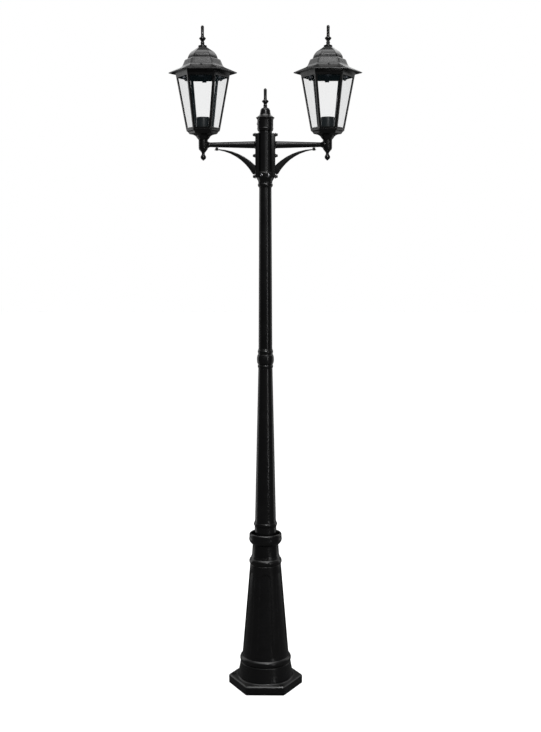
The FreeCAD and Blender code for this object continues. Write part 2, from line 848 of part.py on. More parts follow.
def hub_cap():
    """Hollow cap over the hub's spigot: beaded drum, flared skirt and stepped cone."""
    body = start_body("hub_cap")
    foot = hub_top
    skirt = foot + g.cap_drum_height
    top = foot + g.cap_height
    revolve(body, [
        (g.hub_cap_spigot_radius + g.slip_gap, foot),
        (g.cap_radius - 1.2, foot),
        (g.cap_radius - 0.6, foot + 4),
        ("arc", (g.cap_bead_radius, foot + 7), (g.cap_radius - 0.2, foot + 10)),
        (g.cap_radius, skirt - 1),
        ("arc", (g.cap_skirt_radius - 2.4, skirt + 2.5), (g.cap_skirt_radius, skirt + 5)),
        (g.cap_skirt_radius, skirt + 7),
        ("arc", (g.cap_radius - 3.4, skirt + 11.6), (g.cap_radius - 7.3, skirt + 16)),
        (g.cap_radius - 8, skirt + 18),
        (g.cap_radius - 9.8, skirt + 26),
        ("arc", (g.cap_radius - 10.8, skirt + 31.5), (g.cap_top_radius, top - 1)),
        (g.cap_top_radius, top),
        (g.finial_stud_radius + g.screw_gap, top),
        (g.finial_stud_radius + g.screw_gap, top - g.cap_wall - 3),
        (g.cap_top_radius - g.cap_wall, top - g.cap_wall - 3),
        (g.hub_cap_spigot_radius - 6, skirt + 22),
        (g.hub_cap_spigot_radius - 3, skirt + 12),
        (g.hub_cap_spigot_radius + g.slip_gap, skirt + 4),
    ])
    radial_hole(body, g.small_screw_radius + g.screw_gap, g.cap_radius + 2,
                foot + cap_screw_rise, 180, 12)
    finish(body, "hub_cap")


def cap_screw():
    length = g.cap_radius - g.hub_cap_spigot_radius - 0.1
    body = screw("cap_screw", g.small_head_radius - 1, g.small_head_height * 0.6,
                 g.small_screw_radius, length)
    radial_place(body, g.cap_radius, hub_top + cap_screw_rise, 180)
    finish(body, "cap_screw")


def finial(name):
    """Turned finial on a threaded stud, its foot at 0."""
    body = start_body(name)
    rod = g.finial_rod_radius
    revolve(body, [
        (0, -g.finial_stud_length),
        (g.finial_stud_radius, -g.finial_stud_length),
        (g.finial_stud_radius, 0),
        (g.finial_foot_radius, 0),
        (g.finial_foot_radius, 1.5),
        ("arc", (g.finial_ring_radius - 0.2, 3.2), (g.finial_ring_radius - 0.7, 5.5)),
        ("arc", (g.finial_ring_radius, 8), (g.finial_ring_radius - 0.7, 10.5)),
        ("arc", (g.finial_neck_radius, 12.6), (g.finial_neck_radius + 0.6, 15)),
        (g.finial_bulge_radius - 0.5, 21),
        ("arc", (g.finial_bulge_radius, 22.5), (g.finial_bulge_radius - 0.5, 24)),
        (rod + 0.6, 27.5),
        (rod, 30),
        (rod - 0.2, 44),
        (rod + 0.1, g.finial_height - 6),
        ("arc", (rod * 0.78, g.finial_height - 2.1), (1, g.finial_height)),
        (0, g.finial_height),
    ])
    return body


def cap_finial():
    body = finial("cap_finial")
    place(body, z=hub_top + g.cap_height)
    finish(body, "cap_finial")
    nut = hex_nut("cap_finial_nut", g.finial_nut_radius, g.finial_nut_height, g.finial_stud_radius)
    place(nut, z=hub_top + g.cap_height - g.cap_wall - 3 - g.finial_nut_height)
    finish(nut, "cap_finial_nut")


def hex_nut(name, radius, height, bore):
    """Hexagonal nut standing on 0."""
    body = start_body(name)
    outline = sketch_on(body, "XY_Plane")
    draw(outline, hexagon(radius))
    pad(body, outline, height)
    hole = sketch_on(body, "XY_Plane", height)
    draw_circle(hole, size(bore) + g.screw_gap)
    pocket(body, hole, size(height) + 1)
    return body


SIDES = {"left": -1, "right": 1}


def side_turn(side):
    return turn_about_z(0 if side > 0 else 180)


def arm(name, side):
    """Arm casting, drawn from its stem: saddle plate, tapered tube and hollow stem."""
    body = start_body("arm_" + name)
    root = plate_face - g.reach
    height = g.arm_plate_height
    foot = drum_foot - arm_height
    plate = sketch_on(body, "YZ_Plane", root - g.arm_plate_thickness)
    half = g.arm_plate_width / 2
    draw(plate, rectangle(-half, half, foot, foot + height))
    slab = pad(body, plate, g.arm_plate_thickness)
    doc.recompute()
    long_edges = outer_edges(slab.Shape, root.value)
    rounding = body.newObject("PartDesign::Fillet", body.Name + "_rounding")
    rounding.Base = (slab, long_edges)
    rounding.Radius = 5
    revolve(body, [
        (root - 1, 0),
        (root - 1, g.arm_root_radius + 3),
        (root, g.arm_root_radius + 3),
        ("arc", (root + 1.6, g.arm_root_radius + 1), (root + 5, g.arm_root_radius)),
        (-g.stem_radius - 8, g.arm_end_radius),
        ("arc", (-g.stem_radius - 3, g.arm_end_radius + 1.6),
         (-g.stem_radius * 0.85, g.stem_radius - 1.5)),
        (0, g.stem_radius - 1.5),
        (0, 0),
    ], axis="H_Axis")
    revolve(body, [
        (0, -g.stem_below),
        (g.knob_foot_radius + 0.4, -g.stem_below),
        (g.stem_radius - 1.8, 3.5 - g.stem_below),
        ("arc", (g.stem_radius - 0.5, 7 - g.stem_below), (g.stem_radius, 11 - g.stem_below)),
        (g.stem_radius, g.stem_above - 1),
        (g.stem_radius - 1, g.stem_above),
        (0, g.stem_above),
    ])
    for z in arm_screw_heights():
        boss = sketch_on(body, "YZ_Plane", root)
        draw_circle(boss, g.screw_pad_radius, 0, z - arm_height)
        pad(body, boss, g.screw_pad_height)
        hole = sketch_on(body, "YZ_Plane", root + g.screw_pad_height)
        draw_circle(hole, g.small_screw_radius + g.screw_gap, 0, z - arm_height)
        pocket(body, hole, g.arm_plate_thickness + g.screw_pad_height + 1)
    way = sketch_on(body, "YZ_Plane", root - g.arm_plate_thickness - 1)
    draw_circle(way, arm_bore_radius)
    pocket(body, way, g.reach - g.hub_flat + 1, reverse=True)
    chamber = g.stem_radius - g.stem_wall
    revolve(body, [
        (0, 5 - g.stem_below),
        (chamber - 4, 5 - g.stem_below),
        (chamber, 10 - g.stem_below),
        (chamber, g.stem_above - g.nipple_depth),
        (g.nipple_radius + g.screw_gap, g.stem_above - g.nipple_depth),
        (g.nipple_radius + g.screw_gap, g.stem_above + 1),
        (0, g.stem_above + 1),
    ], cut=True)
    tap = sketch_on(body, "XY_Plane", -g.stem_below)
    draw_circle(tap, g.finial_stud_radius + g.screw_gap)
    pocket(body, tap, 6, reverse=True)
    peg = sketch_on(body, "YZ_Plane", root)
    draw_circle(peg, g.brace_peg_radius + g.screw_gap, 0, brace_peg_height() - arm_height)
    pocket(body, peg, g.brace_peg_length + 1)
    tapped = sketch_on(body, "XY_Plane")
    draw_circle(tapped, g.roof_screw_radius + g.screw_gap, brace_pad_reach - g.reach)
    body.Tip = pocket(body, tapped, g.arm_root_radius)
    place(body, side * g.reach, 0, arm_height, side_turn(side))
    finish(body, "arm_" + name)


def outer_edges(shape, x):
    """Names of the four edges that bound the face at this x."""
    names = []
    for index, edge in enumerate(shape.Edges, start=1):
        box = edge.BoundBox
        if abs(box.XMin - x) < 0.01 and abs(box.XMax - x) < 0.01:
            names.append("Edge" + str(index))
    return names


def arm_screws(name, side):
    """Three screws through the saddle plate into the hub's flat."""
    length = g.arm_plate_thickness + g.screw_pad_height + 4.5
    pieces = []
    for index, z in enumerate(arm_screw_heights()):
        body = screw("arm_screw_" + name + "_" + str(index), g.plate_screw_head_radius,
                     g.plate_screw_head_height, g.small_screw_radius, length)
        place(body, side * (plate_face + g.screw_pad_height), 0, z, outward(0 if side > 0 else 180))
        pieces.append(body)
    group("arm_screws_" + name, pieces)


def brace_peg_height():
    return arm_height - 80


def brace_pad_foot():
    return arm_height - 17.5


def brace(name, side):
    """Scroll brace: a tapered curved bar with a peg in the plate and a boss under the arm."""
    body = start_body("brace_" + name)
    outline = sketch_on(body, "XZ_Plane")
    tip = brace_pad_reach - 6
    low = brace_pad_foot()
    draw(outline, [
        ("arc", (brace_pad_reach * 0.5, arm_height - 33), (plate_face, arm_height - 66)),
        (plate_face, arm_height - 93),
        (plate_face + 4, arm_height - 96),
        (plate_face + 9, arm_height - 94),
        ("arc", (brace_pad_reach * 0.52, arm_height - 47), (tip, low + 0.6)),
        (tip, low + 3.4),
    ])
    pad(body, outline, g.brace_width, midplane=True)
    end = sketch_on(body, "XY_Plane", low)
    draw_circle(end, g.brace_pad_radius, brace_pad_reach)
    pad(body, end, 4)
    boss = sketch_on(body, "XY_Plane", low + 3)
    draw_circle(boss, g.brace_boss_radius, brace_pad_reach)
    pad(body, boss, arm_height - arm_radius_at(brace_pad_reach) - low - 3.8)
    hole = sketch_on(body, "XY_Plane", low)
    draw_circle(hole, g.roof_screw_radius + g.screw_gap, brace_pad_reach)
    pocket(body, hole, 20, reverse=True)
    peg = sketch_on(body, "YZ_Plane", plate_face + 1)
    draw_circle(peg, g.brace_peg_radius, 0, brace_peg_height())
    body.Tip = pad(body, peg, g.brace_peg_length + 1, reverse=True)
    place(body, turn=side_turn(side))
    finish(body, "brace_" + name)


def arm_radius_at(distance):
    """Radius of the arm's taper at a distance from the post's axis."""
    start = plate_face + 5
    end = g.reach - g.stem_radius - 8
    share = (size(distance) - start) / (end - start)
    return g.arm_root_radius + (g.arm_end_radius - g.arm_root_radius) * share


def brace_screw(name, side):
    low = brace_pad_foot()
    length = arm_height - low - arm_bore_radius - 0.5
    body = screw("brace_screw_" + name, g.roof_head_radius + 0.6, g.roof_head_height,
                 g.roof_screw_radius, length)
    place(body, side * brace_pad_reach, 0, low, FreeCAD.Rotation(AXIS_X, 180))
    finish(body, "brace_screw_" + name)


def drop_knob(name, side):
    """Turned knob hanging under the stem on a stud."""
    body = start_body("drop_knob_" + name)
    neck = g.knob_neck_radius
    end = -g.knob_height
    revolve(body, [
        (0, 6),
        (g.finial_stud_radius, 6),
        (g.finial_stud_radius, 0),
        (g.knob_foot_radius, 0),
        (g.knob_foot_radius - 0.6, -1.5),
        (neck + 1.3, -4.5),
        ("arc", (neck - 0.1, -8.5), (neck + 0.8, -12.5)),
        ("arc", (g.knob_radius - 0.8, -16.5), (g.knob_radius, -20.5)),
        ("arc", (g.knob_radius - 1.2, -24.5), (3.4, end + 2.6)),
        ("arc", (2.6, end + 1), (0.8, end)),
        (0, end),
    ])
    place(body, side * g.reach, 0, arm_height - g.stem_below)
    finish(body, "drop_knob_" + name)


# ------------------------------------------------------------------ lantern, from its own foot

cage_foot = g.tray_height
cage_top = cage_foot + g.cage_height
sill_top = cage_foot + g.cage_sill
header_foot = cage_top - g.cage_header


def cage_radius(height):
    """Corner radius of the cage's outside at a height above the lantern's foot."""
    share = (size(height) - cage_foot) / g.cage_height
    return g.cage_bottom_radius + (g.cage_top_radius - g.cage_bottom_radius) * share


def stand(feature, side, height=0):
    """Stand a lantern piece on its arm."""
    place(feature, side * g.reach, 0, lantern_foot + height)


def tray(name, side):
    """Lantern tray: round ogee neck under a hollow hexagonal pan."""
    body = start_body("tray_" + name)
    ledge = g.tray_flare_height + 3
    revolve(body, [
        (0, 0),
        (g.tray_neck_radius, 0),
        (g.tray_neck_radius, 1),
        ("arc", (g.tray_neck_radius + 4.5, 6), (g.tray_neck_radius + 7, 10)),
        ("arc", (g.tray_flare_radius - 5.8, 13.4), (g.tray_flare_radius, g.tray_flare_height)),
        (g.tray_flare_radius + 4, ledge),
        (0, ledge),
    ])
    band = cage_radius(cage_foot - 4.5)
    hex_loft(body, [(ledge - 1, g.tray_ledge_radius), (ledge, g.tray_ledge_radius),
                    (ledge + 6, g.tray_ledge_radius + 4.6), (cage_foot - 4.5, band),
                    (cage_foot, g.cage_bottom_radius)])
    wall = g.tray_wall
    hex_loft(body, [(ledge + wall, g.tray_ledge_radius - wall),
                    (ledge + 6, g.tray_ledge_radius + 4.6 - wall - 1),
                    (cage_foot - 4.5, band - wall - 1), (cage_foot + 1, band - wall - 1)], cut=True)
    hole = sketch_on(body, "XY_Plane")
    draw_circle(hole, g.nipple_radius + g.screw_gap)
    body.Tip = pocket(body, hole, ledge + wall + 1, reverse=True)
    stand(body, side)
    finish(body, "lantern_tray_" + name)


def tray_floor():
    return g.tray_flare_height + 3 + g.tray_wall


def cage(name, side):
    """Cage casting: six posts between a sill and a header, closed above round the roof's opening."""
    body = start_body("cage_" + name)
    hex_loft(body, [(cage_foot, g.cage_bottom_radius), (cage_top, g.cage_top_radius)])
    outline = sketch_on(body, "XY_Plane", cage_top)
    draw(outline, hexagon(g.collar_ring_radius))
    pad(body, outline, g.collar_ring_height)
    lid_foot = cage_top - g.cage_lid_thickness
    hex_loft(body, [(cage_foot - 1, cage_radius(cage_foot - 1) - g.cage_wall),
                    (lid_foot, cage_radius(lid_foot) - g.cage_wall)], cut=True)
    opening = sketch_on(body, "XY_Plane", lid_foot - 1)
    draw(opening, hexagon(g.collar_ring_radius - g.collar_ring_wall))
    pocket(body, opening, g.collar_ring_height + g.cage_lid_thickness + 2, reverse=True)
    low_half = cage_radius(sill_top) / 2 - g.cage_post_width
    high_half = cage_radius(header_foot) / 2 - g.cage_post_width
    window = sketch_on(body, "XZ_Plane")
    draw(window, [(-low_half, sill_top), (low_half, sill_top),
                  (high_half, header_foot), (-high_half, header_foot)])
    cut = pocket(body, window, g.cage_top_radius + 5, reverse=True)
    polar(body, [cut], 6)
    stand(body, side)
    finish(body, "lantern_cage_" + name)


def pane_apothem(height):
    """Outer face of the glass, just inside the cage's wall."""
    return (cage_radius(height) - g.cage_wall) * APOTHEM - 0.1


def glass_panes(name, side):
    """Six sloping panes behind the windows."""
    low = sill_top - g.pane_lap
    high = header_foot + g.pane_lap
    pieces = []
    for index in range(6):
        body = start_body("pane_" + name + "_" + str(index))
        sketches = []
        for height in (low, high):
            half = cage_radius(height) / 2 - g.cage_post_width + 1.2
            face = pane_apothem(height)
            sketch = sketch_on(body, "XY_Plane", height)
            draw(sketch, rectangle(-half, half, -face, g.pane_thickness - face))
            sketches.append(sketch)
        loft = body.newObject("PartDesign::AdditiveLoft", body.Name + "_loft")
        loft.Profile = sketches[0]
        loft.Sections = sketches[1:]
        loft.Ruled = True
        place(body, side * g.reach, 0, lantern_foot, turn_about_z(60 * index))
        pieces.append(body)
    group("glass_panes_" + name, pieces)


def pane_clips(name, side):
    """Six sprung strips under the lid that hold the panes against the header."""
    lid_foot = cage_top - g.cage_lid_thickness
    low = header_foot + g.pane_lap - g.clip_height / 2
    pieces = []
    for index in range(6):
        body = start_body("clip_" + name + "_" + str(index))
        top_face = pane_apothem(lid_foot) - g.pane_thickness
        low_face = pane_apothem(low) - g.pane_thickness - 0.1
        strip = sketch_on(body, "YZ_Plane")
        thin = g.clip_thickness
        draw(strip, [(-low_face, low), (thin - low_face, low), (thin - top_face + 0.4, lid_foot - thin),
                     (9 - top_face, lid_foot - thin), (9 - top_face, lid_foot),
                     (-top_face + 0.3, lid_foot)])
        pad(body, strip, g.clip_width, midplane=True)
        place(body, side * g.reach, 0, lantern_foot, turn_about_z(60 * index))
        pieces.append(body)
    group("pane_clips_" + name, pieces)


def lampholder(name, side):
    """Threaded nipple, lock nut, ceramic lampholder, screw shell, contact and cover."""
    nipple_foot = -g.nipple_depth
    nipple = start_body("nipple_" + name)
    revolve(nipple, ring(nipple_bore_radius, g.nipple_radius, nipple_foot,
                         nipple_foot + g.nipple_length))
    stand(nipple, side)
    finish(nipple, "nipple_" + name)

    nut = hex_nut("nipple_nut_" + name, g.nipple_nut_radius, g.nipple_nut_height, g.nipple_radius)
    stand(nut, side, tray_floor())
    finish(nut, "nipple_nut_" + name)

    foot = tray_floor() + g.nipple_nut_height
    shell_foot = foot + g.holder_height - g.shell_length
    holder = start_body("holder_" + name)
    shell_outer = g.shell_bore_radius + g.shell_wall
    revolve(holder, [
        (g.nipple_radius + g.screw_gap, foot),
        (g.holder_radius - 4, foot),
        (g.holder_radius - 2, foot + g.holder_base_height),
        (g.holder_radius, foot + g.holder_base_height),
        (g.holder_radius, foot + g.holder_height - 2),
        ("arc", (g.holder_radius - 0.6, foot + g.holder_height - 0.6),
         (g.holder_radius - 2, foot + g.holder_height)),
        (shell_outer + 0.1, foot + g.holder_height),
        (shell_outer + 0.1, shell_foot),
        (g.contact_radius + 0.1, shell_foot),
        (g.contact_radius + 0.1, shell_foot - 4),
        (g.nipple_radius + g.screw_gap, shell_foot - 4),
    ])
    stand(holder, side)
    finish(holder, "lampholder_body_" + name)

    shell = start_body("shell_" + name)
    revolve(shell, ring(g.shell_bore_radius, shell_outer, shell_foot, foot + g.holder_height))
    stand(shell, side)
    finish(shell, "screw_shell_" + name)

    contact = start_body("contact_" + name)
    revolve(contact, [
        (0, shell_foot - 3), (g.contact_radius, shell_foot - 3), (g.contact_radius, shell_foot - 1.6),
        (1, shell_foot - 0.3),
        (0, shell_foot - 0.3),
    ])
    stand(contact, side)
    finish(contact, "centre_contact_" + name)

    cover = start_body("cover_" + name)
    inner = g.cover_radius - g.cover_wall
    top = tray_floor() + g.cover_height
    mouth = g.holder_radius - 2.5
    revolve(cover, [
        (inner, tray_floor()),
        (g.cover_radius, tray_floor()),
        (g.cover_radius - 0.3, top - 1.5),
        ("arc", (g.cover_radius - 0.8, top - 0.4), (g.cover_radius - 1.8, top)),
        (mouth, top),
        (mouth, top - 1.2),
        (inner, top - 1.4),
    ])
    stand(cover, side)
    finish(cover, "lampholder_cover_" + name)


# ------------------------------------------------------------------ roof, from its seat on the cage

def roof_outline():
    """Half section of the roof across its flats, from the seat: outside up, inside down."""
    flat = APOTHEM
    wall = g.roof_wall
    return [
        (brim_radius * flat, -g.brim_drop),
        (brim_radius * flat, g.brim_thickness - g.brim_drop),
        (g.skirt_knee_radius * flat, g.skirt_knee_height),
        ("arc", ((g.skirt_radius + 3.1) * flat, g.skirt_knee_height + 4.2),
         (g.skirt_radius * flat, g.skirt_root_height)),
        (g.ledge_radius * flat, g.ledge_height),
        ((g.ledge_radius - 1.6) * flat, g.ledge_height + 2),
        (g.dome_radius * flat, g.dome_height),
        ("arc", ((g.dome_radius + g.dome_shoulder_radius + 8.6) / 2 * flat,
                 (g.dome_height + g.dome_shoulder_height) / 2 + 1.2),
         (g.dome_shoulder_radius * flat, g.dome_shoulder_height)),
        (g.roof_top_radius * flat, g.roof_top_height),
        (0, g.roof_top_height),
        (0, g.roof_top_height - wall - 2),
        ((g.roof_top_radius - 1) * flat, g.roof_top_height - wall - 2),
        ((g.dome_shoulder_radius - 1) * flat, g.dome_shoulder_height - wall - 1),
        ("arc", ((g.dome_radius + g.dome_shoulder_radius + 8.6) / 2 * flat - wall * 0.8,
                 (g.dome_height + g.dome_shoulder_height) / 2 + 1.2 - wall * 0.7),
         ((g.dome_radius - wall - 0.4) * flat, g.dome_height - 1)),
        ((g.ledge_radius - wall - 1) * flat, g.ledge_height - 3),
        ((g.skirt_radius - wall - 0.6) * flat, g.skirt_root_height - 1),
        ("arc", ((g.skirt_radius - 0.4) * flat, g.skirt_knee_height + 1.4),
         ((seat_inner_radius - 6) * flat, g.skirt_knee_height - 4)),
        (seat_inner_radius * flat, 0),
        (seat_outer_radius * flat, 0),
        ((brim_radius - 4) * flat, -g.brim_drop),
    ]


def roof(name, side):
    """Bell roof: one sixth of it, between two corner planes, repeated round the lantern's axis."""
    outline = doc.addObject("Sketcher::SketchObject", "roof_outline_" + name)
    outline.Placement = FreeCAD.Placement(FreeCAD.Vector(), FreeCAD.Rotation(0.5, 0.5, 0.5, 0.5))
    draw(outline, roof_outline())
    bar = doc.addObject("Part::Extrusion", "roof_bar_" + name)
    bar.Base = outline
    bar.DirMode = "Custom"
    bar.Dir = AXIS_X
    bind(bar, "LengthFwd", brim_radius)
    bind(bar, "LengthRev", brim_radius)
    bar.Solid = True
    wedge_plan = doc.addObject("Sketcher::SketchObject", "roof_wedge_plan_" + name)
    far = brim_radius * 1.2
    draw(wedge_plan, [(0, 0), (far / 2, far * APOTHEM), (-far / 2, far * APOTHEM)])
    wedge_plan.Placement = FreeCAD.Placement(FreeCAD.Vector(0, 0, -20), FreeCAD.Rotation())
    wedge = doc.addObject("Part::Extrusion", "roof_wedge_" + name)
    wedge.Base = wedge_plan
    wedge.DirMode = "Custom"
    wedge.Dir = AXIS_Z
    bind(wedge, "LengthFwd", g.roof_top_height + 40)
    wedge.Solid = True
    sixths = []
    for index in range(6):
        sixth = doc.addObject("Part::Common", "roof_sixth_" + name + "_" + str(index))
        sixth.Base = bar
        sixth.Tool = wedge
        sixth.Placement = FreeCAD.Placement(FreeCAD.Vector(), turn_about_z(60 * index))
        sixths.append(sixth)
    disc = doc.addObject("Part::Cylinder", "roof_disc_" + name)
    bind(disc, "Radius", g.roof_top_radius)
    bind(disc, "Height", g.roof_disc_height + 2)
    place(disc, z=g.roof_top_height - 2)
    bell = doc.addObject("Part::MultiFuse", "roof_bell_" + name)
    bell.Shapes = sixths + [disc]
    bell.Refine = True
    tools = []
    hole = doc.addObject("Part::Cylinder", "roof_finial_hole_" + name)
    bind(hole, "Radius", g.finial_stud_radius + g.screw_gap)
    hole.Height = 40
    place(hole, z=g.roof_top_height - 20)
    tools.append(hole)
    for index, bearing in enumerate(roof_screw_bearings):
        angle = math.radians(bearing)
        for part, radius, start in (
                ("bore", g.roof_screw_radius + g.screw_gap, g.collar_ring_radius * APOTHEM),
                ("seat", g.roof_head_radius + 0.3, roof_screw_seat())):
            drill = doc.addObject("Part::Cylinder", "roof_" + part + "_" + name + "_" + str(index))
            bind(drill, "Radius", radius)
            drill.Height = 30
            place(drill, start * math.cos(angle), start * math.sin(angle), g.roof_screw_rise,
                  outward(bearing))
            tools.append(drill)
    drills = doc.addObject("Part::Compound", "roof_drills_" + name)
    drills.Links = tools
    casting = doc.addObject("Part::Cut", "roof_casting_" + name)
    casting.Base = bell
    casting.Tool = drills
    stand(casting, side, cage_top)
    finish(casting, "roof_" + name)


roof_screw_bearings = (-90, 30, 150)


def roof_screw_seat():
    """Distance from the lantern's axis to the faces that the roof screws' heads sit on."""
    return (g.skirt_radius + 2) * APOTHEM


def roof_screws(name, side):
    """Screws through the skirt that bear on the ring above the cage."""
    tip = g.collar_ring_radius * APOTHEM + g.lift_gap
    pieces = []
    for index, bearing in enumerate(roof_screw_bearings):
        body = screw("roof_screw_" + name + "_" + str(index), g.roof_head_radius,
                     g.roof_head_height, g.roof_screw_radius, roof_screw_seat() - tip)
        angle = math.radians(bearing)
        place(body, side * g.reach + roof_screw_seat() * math.cos(angle),
              roof_screw_seat() * math.sin(angle), lantern_foot + cage_top + g.roof_screw_rise,
              outward(bearing))
        pieces.append(body)
    group("roof_screws_" + name, pieces)


def roof_finial(name, side):
    body = finial("roof_finial_" + name)
    stand(body, side, cage_top + g.roof_top_height + g.roof_disc_height)
    finish(body, "roof_finial_" + name)
    nut = hex_nut("finial_nut_" + name, g.finial_nut_radius, g.finial_nut_height,
                  g.finial_stud_radius)
    stand(nut, side, cage_top + g.roof_top_height - g.roof_wall - 2 - g.finial_nut_height)
    finish(nut, "finial_nut_" + name)


# ------------------------------------------------------------------ wiring

def terminal_block():
    """Three-pole block screwed to a flat boss inside the foot, with its screws."""
    depth = g.block_depth
    back = g.block_boss_face
    body = start_body("terminal_block")
    outline = sketch_on(body, "XY_Plane", g.block_rise)
    half = g.block_width / 2
    draw(outline, rectangle(-half, half, back - depth, back))
    pad(body, outline, g.block_height)
    middle = g.block_rise + g.block_height / 2
    for x, z, radius in block_fixings()[:2]:
        hole = sketch_on(body, "XZ_Plane", depth - back)
        draw_circle(hole, radius + g.screw_gap, x, z)
        pocket(body, hole, depth + 1)
    screws = []
    for x in (-g.terminal_pitch, 0, g.terminal_pitch):
        for row in (-7, 7):
            well = sketch_on(body, "XZ_Plane", depth - back)
            spot = (x * 0.75, middle + row)
            draw_circle(well, g.terminal_radius + 0.4, spot[0], spot[1])
            body.Tip = pocket(body, well, 8)
            index = str(len(screws))
            terminal = grub_screw("terminal_screw_" + index, g.terminal_radius, 6)
            place(terminal, spot[0], back - depth + 2, spot[1], FreeCAD.Rotation(AXIS_X, 90))
            screws.append(terminal)
    finish(body, "terminal_block")
    group("terminal_screws", screws)
    fixings = []
    for index, (x, z, radius) in enumerate(block_fixings()[:2]):
        fixing = screw("block_screw_" + str(index), radius + 1.6, 2, radius, depth + 8)
        place(fixing, x, back - depth, z, FreeCAD.Rotation(AXIS_X, 90))
        fixings.append(fixing)
    group("block_screws", fixings)
    x, z, radius = block_fixings()[2]
    earth = screw("earth_screw", radius + 2.6, 3, radius, 8)
    place(earth, x, back, z, FreeCAD.Rotation(AXIS_X, 90))
    finish(earth, "earth_screw")


def rounded_wire(points, radii):
    """Straight runs joined by tangent arcs: one radius for each point between the ends."""
    edges = []
    start = points[0]
    length = 0
    for index, radius in enumerate(radii, start=1):
        corner = points[index]
        before = (points[index - 1] - corner).normalize()
        after = (points[index + 1] - corner).normalize()
        turn = math.pi - before.getAngle(after)
        reach = radius * math.tan(turn / 2)
        first = corner + before * reach
        last = corner + after * reach
        inward = (before + after).normalize()
        centre = corner + inward * (radius / math.cos(turn / 2))
        middle = centre - inward * radius
        edges.append(Part.LineSegment(start, first).toShape())
        edges.append(Part.Arc(first, middle, last).toShape())
        length += (first - start).Length + radius * turn
        start = last
    edges.append(Part.LineSegment(start, points[-1]).toShape())
    length += (points[-1] - start).Length
    return Part.Wire(edges), length


def lamp_cable(name, side):
    """Flex from the terminal block up the post, past the other one, and along the arm to its lampholder."""
    start_x = -side * g.cable_side.value
    beside = side * cable_offset.value
    block_top = (g.block_rise + g.block_height).value
    block_middle = (g.block_boss_face - g.block_depth / 2).value
    level = arm_height.value
    end_x = side * g.reach.value
    end = (lantern_foot + tray_floor() + g.nipple_nut_height + g.holder_height - g.shell_length
           - 4.5).value
    points = [
        FreeCAD.Vector(start_x, block_middle, block_top),
        FreeCAD.Vector(start_x, block_middle, block_top + 45),
        FreeCAD.Vector(start_x, beside, block_top + 150),
        FreeCAD.Vector(start_x, beside, level),
        FreeCAD.Vector(end_x, 0, level),
        FreeCAD.Vector(end_x, 0, end),
    ]
    radii = [90, 110, g.cable_bend.value, g.cable_end_bend.value]
    path, length = rounded_wire(points, radii)
    circle = Part.Wire(Part.Circle(points[0], AXIS_Z, g.cable_radius.value).toShape())
    tube = path.makePipeShell([circle], True, True)
    expected = math.pi * g.cable_radius.value ** 2 * length
    if abs(tube.Volume / expected - 1) > 0.01:
        raise RuntimeError("the cable's volume is not its section times its length")
    cable = doc.addObject("Part::Feature", "lamp_cable_" + name)
    cable.Shape = tube
    finish(cable, "lamp_cable_" + name)
    print(name, "cable", round(length), "mm, bend radii", radii)


# ------------------------------------------------------------------ assembly

def build():
    foot_casting()
    lower_shaft()
    shaft_nut()
    mid_coupling()
    upper_tube()
    coupling_screw()
    hub()
    hub_screws()
    hub_cap()
    cap_screw()
    cap_finial()
    terminal_block()
    for name, side in SIDES.items():
        arm(name, side)
        arm_screws(name, side)
        brace(name, side)
        brace_screw(name, side)
        drop_knob(name, side)
        tray(name, side)
        cage(name, side)
        glass_panes(name, side)
        pane_clips(name, side)
        lampholder(name, side)
        roof(name, side)
        roof_screws(name, side)
        roof_finial(name, side)
        lamp_cable(name, side)


CUTTING_FEATURES = ("PartDesign::Pocket", "PartDesign::Groove", "PartDesign::SubtractiveLoft")


def check():
    """Stop before writing if an object failed, a cut removed nothing or a sub-part is not a valid solid."""
    doc.recompute()
    for feature in doc.Objects:
        if "Invalid" in feature.State or "Error" in feature.State:
            raise RuntimeError(feature.Label + " failed: " + str(feature.State))
        if feature.TypeId in CUTTING_FEATURES and feature.Shape.Volume >= feature.BaseFeature.Shape.Volume:
            raise RuntimeError(feature.Label + " cuts nothing")
    for feature in subparts:
        if feature.Shape.isNull() or not feature.Shape.isValid() or not feature.Shape.Solids:
            raise RuntimeError(feature.Label + " is not a valid solid")


def export():
    os.makedirs("parts", exist_ok=True)
    for feature in subparts:
        feature.Shape.exportStep(os.path.join("parts", feature.Label + ".step"))


build()
check()
export()
print(len(subparts), "sub-parts")
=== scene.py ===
"""Street lamp post with two hexagonal lanterns, finished for display.

Outlines are written in millimetres, as (distance from the axis, height), and every mesh is made in
metres at the place where it stands.  The X axis runs along the arms and -Y is the front.
"""
import json
import math

import bmesh
import bpy
from mathutils import Matrix, Vector


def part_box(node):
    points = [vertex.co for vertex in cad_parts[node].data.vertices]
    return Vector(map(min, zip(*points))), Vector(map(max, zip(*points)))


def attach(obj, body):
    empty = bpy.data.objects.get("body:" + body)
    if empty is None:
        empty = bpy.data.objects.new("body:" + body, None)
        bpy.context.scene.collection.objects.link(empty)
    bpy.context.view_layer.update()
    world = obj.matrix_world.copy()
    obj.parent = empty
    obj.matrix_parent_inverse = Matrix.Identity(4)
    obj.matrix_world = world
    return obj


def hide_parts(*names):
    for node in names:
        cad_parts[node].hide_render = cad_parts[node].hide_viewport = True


bl_info = {
    "name": "Street lamp post",
    "version": (1, 0, 0),
    "blender": (4, 5, 0),
    "location": "3D View > Sidebar > Lamp post",
    "description": "Builds a cast street lamp post with two hexagonal lanterns",
    "category": "Add Mesh",
}

